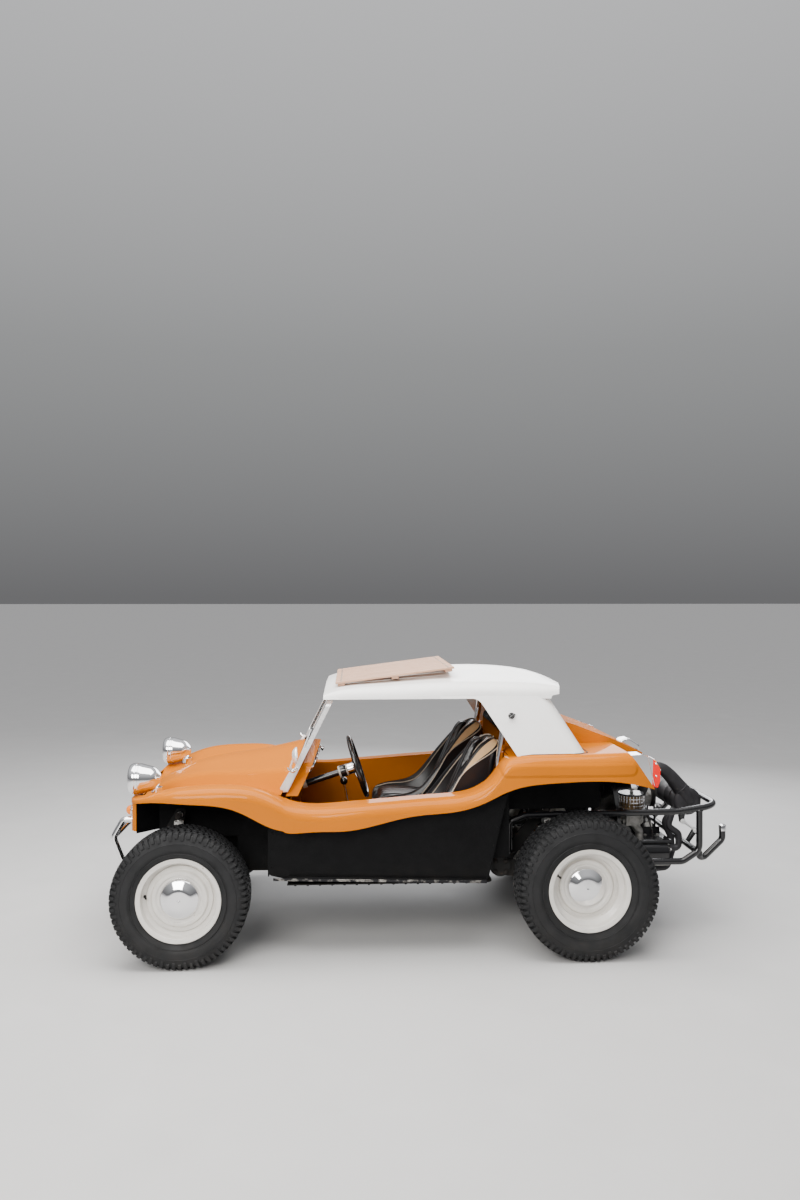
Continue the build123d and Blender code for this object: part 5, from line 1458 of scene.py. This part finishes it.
@dataclass
class Engine:
    """Open engine with its ignition and fuel fittings, and the gearbox."""
    car: Car
    x: float = 2290.0
    filter_at: Pair = (2362.0, 374.0)
    fan_back: float = 2420.0
    crank_z: float = 420.0
    dynamo_z: float = 660.0
    gearbox_at: Pair = (2032.0, 356.0)
    crank_pulley_r: float = 79.0
    dynamo_pulley_r: float = 55.0
    guard_r: float = 67.0
    # Where the finishes change: back from x, across the banks, and up the carburettors.
    crank_pulley: float = 286.0
    dynamo_pulley: float = 287.5
    dynamo_r: float = 53.5
    barrel_y: float = 272.0
    cover_y: float = 350.5
    tube_y: Pair = (138.0, 280.0)
    tube_top: float = 372.0
    filter_base: float = 671.0
    filter_foot: float = 684.5
    filter_lid: float = 751.5

    def build(self) -> None:
        """Dress the engine's nodes and add its fittings."""
        self.car.dress("engine_case", ALLOY, IRON, pick=lambda c, n: int(c.x > self.x + self.crank_pulley))
        self.car.dress("gearbox", ALLOY)
        for side, _ in SIDES:
            self.car.dress(f"cylinder_bank_{side}", ALLOY, IRON, BLACK_ENAMEL, CHROME, pick=self._bank)
            self.car.dress(f"carburettor_{side}", ALLOY, BRONZE, CHROME, BLACK_ENAMEL,
                           pick=self._carburettor)
        self.car.dress("fan_shroud", BLACK_ENAMEL, ALLOY, IRON, pick=self._shroud)
        self._ignition()
        self._induction()
        self._fixings()
        self._belt()
        self._filter_wires()

    def _bank(self, centre: Vector, normal: Vector) -> int:
        """Choose among the finishes of a cylinder bank.

        Args:
            centre: the face's middle.
            normal: its direction.

        Returns:
            0 for the head, 1 for the iron barrels, 2 for the black rocker cover, 3 for the plated tubes.
        """
        y = abs(centre.y)
        low, high = self.tube_y
        if y > self.cover_y:
            return 2
        if centre.z < self.tube_top and low < y < high and abs(normal.y) < 0.3:
            return 3
        return 1 if y < self.barrel_y else 0

    def _carburettor(self, centre: Vector, normal: Vector) -> int:
        """Choose among the finishes of a carburettor.

        Args:
            centre: the face's middle.
            normal: its direction.

        Returns:
            0 for the casting, 1 for the bronze pleats, 2 for the plated base, 3 for the black lid.
        """
        if centre.z > self.filter_lid:
            return 3
        if centre.z > self.filter_foot:
            return 1
        return 2 if centre.z >= self.filter_base else 0

    def _shroud(self, centre: Vector, normal: Vector) -> int:
        """Choose among the finishes of the fan housing.

        Args:
            centre: the face's middle.
            normal: its direction.

        Returns:
            0 for the black tin, 1 for the alloy dynamo, 2 for the iron pulley.
        """
        if centre.x > self.x + self.dynamo_pulley:
            return 2
        radius = hypot(centre.y, centre.z - self.dynamo_z)
        return int(centre.x > self.fan_back + 1 and radius < self.dynamo_r)

    def _ignition(self) -> None:
        """Distributor, coil, and plug leads that run to the heads."""
        form, coil, leads = Form(), Form(), Form()
        x, y, z = self.x + 210, -96, 498
        form.turn([(0, 0), (20, 0), (20, 30), (30, 36), (33, 62), (30, 66), (28, 92), (20, 100), (0, 101)],
                  (x, y, z), Axis.Z, 28)
        self.car.build("distributor", form, "engine_alloy", BAKELITE, smooth=40)
        cx, cy = self.fan_back + 36, 150
        coil.turn([(0, 0), (29, 0), (30, 4), (30, 118), (26, 122), (15, 124), (13, 146), (0, 147)],
                  (cx, cy, 630), Axis.Z, 28)
        coil.prism([(cx - 35, 660), (cx + 32, 660), (cx + 32, 676), (cx - 35, 676)],
                   Axis.Y, cy - 33, cy + 33)
        self.car.build("ignition_coil", coil, "shroud_black", BLACK_ENAMEL, smooth=40, bevel=1.0)
        for plug_x, side, shift in ((90, 1, 14), (228, 1, 6), (90, -1, -6), (228, -1, -14)):
            a = Vector((x + shift, y + shift * 0.5, z + 94))
            b = Vector((self.x + plug_x, side * 258, 500))
            path = [a, a + Vector((0, 0, 34)), a.lerp(b, 0.35) + Vector((18, 0, 30)),
                    a.lerp(b, 0.7) + Vector((14, 0, 4)), b + Vector((0, -side * 12, 24)), b,
                    b - Vector((0, 0, 20))]
            leads.tube(eased(path, 5), 3.8, 8)
            leads.tube([b + Vector((0, 0, 6)), b, b - Vector((0, 0, 22))], [6.5, 8.5, 8.0], 10)
            leads.tube([a - Vector((0, 0, 8)), a, a + Vector((0, 0, 14))], [7.0, 7.0, 5.0], 10)
        king, reach = Vector((x, y, z + 100)), Vector((cx, cy, 776))
        leads.tube(eased([king, king + Vector((0, 0, 40)), king.lerp(reach, 0.5) + Vector((34, 0, 40)),
                          reach + Vector((6, 0, 36)), reach], 6), 3.8, 8)
        self.car.build("plug_leads", leads, "shroud_black", LEAD, smooth=70)

    def _induction(self) -> None:
        """Throttle shafts, linkage and the wing nuts of the filters."""
        form = Form()
        fx, fy = self.filter_at
        boss = [(0, 762), (10, 762), (10, 768), (5, 772), (5, 784), (0, 785)]
        for sign in (-1, 1):
            y = sign * fy
            form.turn(boss, (fx, y, 0), Axis.Z, 16)
            for tilt in (-1, 1):
                form.tube([(fx + tilt * 4, y, 774), (fx + tilt * 16, y, 780)], [3.5, 5.0], 8)
            form.tube([(fx - 58, y, 612), (fx + 60, y, 612)], 5.5, 12)
            form.prism([(fx + 56, 600), (fx + 62, 600), (fx + 62, 652), (fx + 56, 652)],
                       Axis.Y, y - 8, y + 8)
            form.turn([(0, 52), (15, 52), (15, 60), (0, 60)], (fx, y, 640), Axis.Y, 20)
            for dx in (-27, 27):
                for z in (596, 664):
                    form.bolt((fx + dx, sign * (fy - 34), z), (0, -sign, 0), 11)
        form.tube([(fx + 59, -fy, 646), (fx + 66, -200, 650), (fx + 66, 200, 650), (fx + 59, fy, 646)],
                  4.5, 10)
        form.tube([(fx + 66, 0, 650), (fx + 40, 0, 700), (fx - 10, 0, 806)], 3.5, 8)
        self.car.build("throttle_linkage", form, "engine_alloy", ALLOY, smooth=50)

    def _fixings(self) -> None:
        """Bolts on the case, tins, covers and gearbox, with the oil filler and dipstick."""
        form = Form()
        x = self.x
        for sign in (-1, 1):
            for bx in (95, 215):
                form.bolt((x + bx, sign * 392, 392), (0, sign, 0), 14)
            form.tube([(x + 60, sign * 385, 374), (x + 155, sign * 398, 366), (x + 250, sign * 385, 374)],
                      3.0, 8)
            for bx in (50, 120, 190, 260):
                form.bolt((x + bx, sign * 240, 495), (0, 0, 1), 11)
            for z in (560, 640):
                form.bolt((self.fan_back, sign * 262, z), (1, 0, 0), 12)
            for z, y in ((352, 130), (440, 138), (500, 120)):
                form.bolt((x - 2, sign * y, z), (-1, 0, 0), 15)
        form.turn([(0, 498), (24, 498), (24, 558), (34, 562), (34, 580), (26, 586), (0, 587)],
                  (x + 205, 96, 0), Axis.Z, 28)
        form.tube([(x + 262, 60, 520), (x + 264, 61, 570), (x + 262, 62, 606)], 5, 10)
        grip = ((62, 602), (72, 616), (62, 628), (54, 616), (62, 604))
        form.tube([(x + 262, y, z) for y, z in grip], 3, 8)
        gx, gz = self.gearbox_at
        for t in (2 * pi * k / 8 for k in range(8)):
            for sign in (1, -1):
                form.bolt((gx + 96 * cos(t), sign * 121, gz + 96 * sin(t)), (0, sign, 0), 13)
        self.car.build("engine_fixings", form, "engine_alloy", ALLOY, smooth=40)

    def _belt(self) -> None:
        """Fan belt round the crank and dynamo pulleys."""
        low, high = self.crank_z, self.dynamo_z
        big, small = self.crank_pulley_r, self.dynamo_pulley_r
        lean = asin((big - small) / (high - low))
        path = []
        for t in (lean - k / 20 * (pi + 2 * lean) for k in range(21)):
            path.append((self.x + 300, big * cos(t), low + big * sin(t)))
        for t in (pi - lean - k / 16 * (pi - 2 * lean) for k in range(17)):
            path.append((self.x + 300, small * cos(t), high + small * sin(t)))
        form = Form()
        form.tube(path, 6.2, 6, loop=True)
        self.car.build("fan_belt", form, "shroud_black", SEAL, smooth=30)

    def _filter_wires(self) -> None:
        """Plated wire guard round each filter."""
        form = Form()
        fx, fy = self.filter_at
        r = self.guard_r
        for sign in (-1, 1):
            for a in (2 * pi * (k + 0.5) / 24 for k in range(24)):
                u, v = fx + r * cos(a), sign * fy + r * sin(a)
                form.tube([(u, v, 682), (u, v, 754)], 1.7, 6)
            for z in (700, 718, 736):
                hoop = [(r - 1.6, z - 1.4), (r + 1.6, z - 1.4), (r + 1.6, z + 1.4), (r - 1.6, z + 1.4)]
                form.turn(hoop, (fx, sign * fy, 0), Axis.Z, 48, close=True)
        self.car.build("filter_guards", form, "filter_bronze", CHROME, smooth=60)


@dataclass
class Exhaust:
    """Silencer across the tail with its swept headers and the tapered pipe over its near end."""
    car: Car
    x: float = 2290.0
    port_y: float = 311.0
    pipe: float = 18.0
    silencer: Pair = (2690.0, 700.0)
    silencer_r: float = 74.0
    # Tapered pipe: middle x, y, z and radius.
    taper: tuple[tuple[float, ...], ...] = (
        (2421, -190, 680, 27), (2458, -192, 690, 27), (2484, -240, 800, 28), (2512, -286, 878, 30),
        (2556, -300, 874, 33), (2602, -300, 834, 37), (2640, -300, 788, 41), (2680, -300, 738, 45),
        (2704, -296, 696, 48),
    )

    def build(self) -> None:
        """Make the exhaust in place of its solid, and what holds it."""
        form = Form()
        sx, sz = self.silencer
        r = self.silencer_r
        half = [(0, 337), (30, 336.5), (60, 333), (70, 328), (r + 1.6, 322), (r + 2.4, 318), (r + 1.6, 313),
                (r, 310), (r, 160), (r + 1.4, 156), (r + 1.4, 150), (r, 146), (r, 40), (r + 0.8, 36),
                (r + 0.8, 33), (r, 30)]
        form.turn(half + [(q, -w) for q, w in reversed(half)], (sx, 0, sz), Axis.Y, 64)
        for sign in (-1, 1):
            self._headers(form, sign)
        spine = eased([Vector(row[:3]) for row in self.taper], 5)
        widths = [v.x for v in eased([Vector((row[3], 0, 0)) for row in self.taper], 5)]
        form.tube(spine, widths, 28)
        for i in (12, 32):
            along = (spine[i + 1] - spine[i - 1]).normalized()
            form.tube([spine[i] + along * q for q in (-3, -1.6, 1.6, 3)],
                      [widths[i] + q for q in (0.0, 2.0, 2.0, 0.0)], 28)
        self.car.build("exhaust_system", form, "exhaust_grey", GREY_PIPE, smooth=50, replaces=["exhaust"])
        self._fittings()

    def _headers(self, form: Form, sign: int) -> None:
        """Add the two header pipes of one bank, each with its weld at the silencer.

        Args:
            form: mesh to add to.
            sign: side of the car.
        """
        x, y, r = self.x, self.port_y, self.pipe
        rear = [(x + 290, y, 440), (x + 355, y, 440), (x + 355, y, 520), (x + 298, 300, 560),
                (x + 328, 290, 640), (x + 390, 280, 672)]
        front = [(x + 55, y, 354), (x + 55, y, 318), (x + 310, 250, 318), (x + 350, 220, 400),
                 (x + 350, 200, 470), (x + 310, 200, 560), (x + 390, 200, 662)]
        paths = [rounded([(u, sign * v, w) for u, v, w in path], radii, 8)
                 for path, radii in ((rear, [30, 30, 28, 30]), (front, [24, 40, 40, 40, 40]))]
        for path in paths:
            form.tube(path, r, 20)
            along = (path[-1] - path[-2]).normalized()
            form.tube([path[-1] - along * q for q in (14, 11, 7, 4)], [r, r + 2.2, r + 2.2, r], 20)
        flange = [(r, -3), (r + 14, -3), (r + 14, 4), (r, 4)]
        form.turn(flange, tuple(paths[0][0] + Vector((5, 0, 0))), Axis.X, 24)
        form.turn(flange, tuple(paths[1][0] - Vector((0, 0, 6))), Axis.Z, 24)

    def _fittings(self) -> None:
        """Bands, flange bolts, hangers and the plated stays."""
        bands, stay, bar = Form(), Form(), Form()
        sx, sz = self.silencer
        r = self.silencer_r
        for y in (-232, 232):
            bands.turn([(r + 0.5, y - 10), (r + 3, y - 9), (r + 3, y + 9), (r + 0.5, y + 10)],
                       (sx, 0, sz), Axis.Y, 48)
            bands.bolt((sx + 4, y, sz + r + 3), (0, 0, 1), 12)
        self.car.build("silencer_bands", bands, "exhaust_grey", GREY_PIPE, smooth=50)
        for sign in (-1, 1):
            for y in (288, 306):
                stay.tube([(2664, sign * y, 590), (2741, sign * y, 535)], 6.5, 12)
            for x, z in ((2668, 587), (2738, 537)):
                stay.bolt((x, sign * 314, z), (0, sign, 0), 15)
            for k in (-1, 1):
                stay.bolt((self.x + 298, sign * self.port_y + k * 25, 440), (1, 0, 0), 11)
            for plate in ([(2646, 640), (2684, 638), (2676, 578), (2656, 578)],
                          [(2682, 462), (2700, 458), (2752, 528), (2750, 548), (2734, 548)]):
                bar.prism(plate, Axis.Y, sign * 284, sign * 310)
        self.car.build("silencer_stays", stay, "chrome_trim", BRIGHT, smooth=50)
        self.car.build("silencer_hangers", bar, "tube_black", BLACK_ENAMEL, smooth=30, bevel=2.0)


@dataclass
class Wheel:
    """Steel wheel and its all-terrain tyre."""
    car: Car
    end: str
    x: float
    z: float
    width: float
    radius: float
    dish: float
    valve: float
    pitches: int = 68
    face_y: float = 780.0
    bulge: float = 12.0
    seat_r: float = 190.0
    depth: float = 9.0
    cap_r: float = 103.0
    hub_r: float = 117.0
    # Centre blocks: inner and outer edge in half widths, and offset in pitches.
    blocks: tuple[Point, ...] = (
        (-0.60, -0.27, 0.0), (-0.22, 0.02, 0.5), (0.06, 0.30, 0.0), (0.35, 0.62, 0.5),
    )

    def build(self) -> None:
        """Make the left and right wheels."""
        right = self._tyre()
        for side, form in (("right", right), ("left", right.mirrored())):
            self.car.build(f"{self.end}_tread_{side}", form, "tyre_black", RUBBER, smooth=32,
                           body=f"{self.end}_wheel_{side}", replaces=[f"{self.end}_tyre_{side}"])
            self.car.dress(f"{self.end}_rim_{side}", ENAMEL, CHROME, IRON, pick=self._rim)
        stem = Form()
        a = radians(self.valve)
        stem.tube([self._at(a, r, y) for r, y in
                   ((173, 725), (170, 733), (167, 741), (163, 751), (162.8, 751.5), (159, 761))],
                  [9, 6.5, 4.6, 4.2, 5.2, 4.8], 14)
        for side, form in (("right", stem), ("left", stem.mirrored())):
            self.car.build(f"{self.end}_valve_{side}", form, "tyre_black", SEAL, smooth=60,
                           body=f"{self.end}_wheel_{side}")

    def _rim(self, centre: Vector, normal: Vector) -> int:
        """Choose among the finishes of a wheel.

        Args:
            centre: the face's middle.
            normal: its direction.

        Returns:
            0 for the enamelled rim, 1 for the hub cap, 2 for the hub behind.
        """
        radius = hypot(centre.x - self.x, centre.z - self.z)
        disc = self.face_y - self.dish
        if radius < self.cap_r and abs(centre.y) > disc + 4.5:
            return 1
        return 2 if radius < self.hub_r and abs(centre.y) < disc - 5 else 0

    def _at(self, angle: float, r: float, y: float) -> Point:
        """Point on the tyre at an angle."""
        return (self.x + r * cos(angle), y, self.z + r * sin(angle))

    def _crown(self, r: float, y: float) -> float:
        """Radius lowered towards the shoulders."""
        return r - 5.0 * (abs(y) / (self.width / 2)) ** 3

    def _profile(self) -> list[Pair]:
        """Outline of the carcass from bead to bead round the tread.

        Returns:
            Points (radius, across).
        """
        h, s, r = self.width / 2, self.seat_r, self.radius - self.depth
        bead = h - self.bulge - 14
        mid = (s + self.radius) / 2
        half = [(s + 0.3, bead, 0), (s + 10, bead + 6, 4), (s + 26, bead + 8, 8), (mid - 14, h - 1, 40),
                (mid + 16, h - 1, 40), (r - 24, h - 9, 10), (r - 8, h - 15, 10), (r, h - 40, 40)]
        return bend_path(half + [(q, -w, b) for q, w, b in reversed(half)], 4, closed=False)

    def _tyre(self) -> Form:
        """Carcass, side ribs and tread blocks.

        Returns:
            The right-hand tyre.
        """
        h = self.width / 2
        c = self.face_y + self.bulge - h
        form = Form()
        form.turn([(q, c + w) for q, w in self._profile()], (self.x, 0, self.z), steps=96)
        step = 2 * pi / self.pitches
        for i in range(self.pitches):
            a = i * step
            for k, (u0, u1, shift) in enumerate(self.blocks):
                skew = 0.16 if k % 2 else -0.16
                self._block(form, c, a + shift * step, step * 0.80, u0 * h, u1 * h, skew)
            for side, lead in ((-1, 0.6), (1, 0.25)):
                self._shoulder(form, c, a + lead * step, step * 0.78, side, 30 if i % 2 else 40)
        for side in (-1, 1):
            for r in (self.seat_r + (self.radius - self.seat_r) * q for q in (0.30, 0.62)):
                rib = [(r - 2.2, h - 3), (r - 1, h + 0.2), (r + 1, h + 0.2), (r + 2.2, h - 3)]
                form.turn([(q, c + side * w) for q, w in rib], (self.x, 0, self.z), steps=72)
        return form

    def _block(self, form: Form, c: float, a: float, span: float, y0: float, y1: float,
               skew: float) -> None:
        """Add one zigzag-edged centre block.

        Args:
            form: mesh to add to.
            c: the tyre's middle across the car.
            a: angle of the block's middle.
            span: angle that it takes up.
            y0: its inner edge from the tyre's middle.
            y1: its outer edge.
            skew: slant of its ends.
        """
        zig, mid = span * 0.14, (y0 + y1) / 2
        outline = [(-0.5 * span, y0), (-0.5 * span + zig, mid), (-0.5 * span, y1), (0.5 * span - zig, y1),
                   (0.5 * span, mid), (0.5 * span - zig, y0)]
        rows, top = [], self.radius
        for r, inset in ((top - self.depth - 1.5, 1.0), (top - 1.2, 0.97), (top, 0.90)):
            rows.append([self._at(a + t * inset + skew * (y - y0) / top, self._crown(r, y),
                                  c + mid + (y - mid) * inset) for t, y in outline])
        form.grid(rows)

    def _shoulder(self, form: Form, c: float, a: float, span: float, side: int, drop: float) -> None:
        """Add one lug that wraps over the shoulder.

        Args:
            form: mesh to add to.
            c: the tyre's middle across the car.
            a: angle of the lug's middle.
            span: angle that it takes up.
            side: which shoulder.
            drop: how far it reaches down the side wall.
        """
        h, r = self.width / 2, self.radius
        line = [(r - 2.5, h * 0.66), (r - 4, h - 20), (r - 9, h - 9), (r - 22, h - 4), (r - drop, h - 3)]
        rows = []
        for i, (q, w) in enumerate(line):
            under = (q - self.depth, w - (3 if i < 2 else 8))
            ends = ((under, -0.5), ((q, w), -0.44), ((q, w), 0.44), (under, 0.5))
            ring = [self._at(a + t * span * (0.92 - 0.05 * i), p, c + side * v) for (p, v), t in ends]
            rows.append(ring if side > 0 else ring[::-1])
        form.grid(rows)


@dataclass
class Studio:
    """Floor, lights and the camera at the photograph's angle."""
    car: Car
    eye: Point = (841.3, -5367.0, 1823.0)
    yaw: float = 3.0
    pitch: float = 0.18
    lens: float = 28.0
    sensor: float = 36.0
    floor: float = 240.0
    # Soft boxes: name, place, aim, size, power and tint.
    boxes: tuple[tuple, ...] = (
        ("overhead", (500, -900, 4200), (900, 0, 500), (5.0, 3.2), 380.0, (1.0, 0.985, 0.96)),
        ("near side", (-1200, -5600, 3600), (900, 0, 500), (3.5, 2.4), 380.0, (1.0, 0.98, 0.95)),
        ("far side", (2600, 4200, 2800), (1000, 0, 700), (4.0, 2.5), 200.0, (0.97, 0.98, 1.0)),
    )

    def build(self) -> None:
        """Set the studio up."""
        self._floor()
        self._world()
        for box in self.boxes:
            self._light(*box)
        data = bpy.data.cameras.new("camera")
        data.sensor_fit = "VERTICAL"
        data.sensor_height = self.sensor
        data.lens = self.lens
        camera = bpy.data.objects.new("camera", data)
        camera.location = self.car.place(*self.eye)
        camera.rotation_euler = (radians(90 - self.pitch), 0, radians(-self.yaw))
        bpy.context.scene.collection.objects.link(camera)
        bpy.context.scene.camera = camera

    def _floor(self) -> None:
        """Lay a pale floor."""
        mesh = bpy.data.meshes.new("floor")
        s = self.floor
        mesh.from_pydata([(-s, -s, 0), (s, -s, 0), (s, s, 0), (-s, s, 0)], [], [(0, 1, 2, 3)])
        floor = bpy.data.objects.new("floor", mesh)
        mesh.materials.append(FLOOR.make())
        bpy.context.scene.collection.objects.link(floor)

    def _world(self) -> None:
        """Light the room softly, paler overhead."""
        world = bpy.data.worlds.new("room")
        bpy.context.scene.world = world
        world.use_nodes = True
        nodes, links = world.node_tree.nodes, world.node_tree.links
        background = nodes["Background"]
        split = nodes.new("ShaderNodeSeparateXYZ")
        links.new(nodes.new("ShaderNodeTexCoord").outputs["Generated"], split.inputs[0])
        ramp = nodes.new("ShaderNodeValToRGB")
        links.new(split.outputs["Z"], ramp.inputs["Fac"])
        elements = ramp.color_ramp.elements
        elements[0].color = (0.17, 0.17, 0.175, 1)
        elements[1].color = (1.0, 1.0, 1.02, 1)
        elements[1].position = 0.8
        elements.new(0.25).color = (0.36, 0.365, 0.37, 1)
        links.new(ramp.outputs["Color"], background.inputs["Color"])
        background.inputs["Strength"].default_value = 0.9

    def _light(self, name: str, at: Point, aim: Point, size: Pair, power: float, tint: Colour) -> None:
        """Hang one soft box.

        Args:
            name: its name.
            at: its place in millimetres.
            aim: the point it faces.
            size: width and height in metres.
            power: its power in watts.
            tint: its colour.
        """
        data = bpy.data.lights.new(name, "AREA")
        data.shape = "RECTANGLE"
        data.size, data.size_y = size
        data.energy = power
        data.color = tint
        light = bpy.data.objects.new(name, data)
        light.location = self.car.place(*at)
        light.rotation_euler = (self.car.place(*aim) - light.location).to_track_quat("-Z", "Y").to_euler()
        bpy.context.scene.collection.objects.link(light)


def main() -> None:
    """Dress the car, piece by piece."""
    logging.basicConfig(level=logging.INFO, format="%(message)s")
    car = Car(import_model())
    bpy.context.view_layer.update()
    Studio(car).build()
    for part in (
        Body(car), Screen(car), HardTopTrim(car), RoofBoard(car), Sides(car), Tubes(car), Lamps(car),
        Cabin(car), Seat(car), Engine(car), Exhaust(car), RunningGear(car),
        Wheel(car, "front", x=0, z=340, width=212, radius=340, dish=50, valve=176),
        Wheel(car, "rear", x=2032, z=356, width=250, radius=356, dish=90, valve=156),
    ):
        LOG.info("building %s", type(part).__name__)
        part.build()
    bpy.context.view_layer.update()


if __name__ == "__main__":
    main()
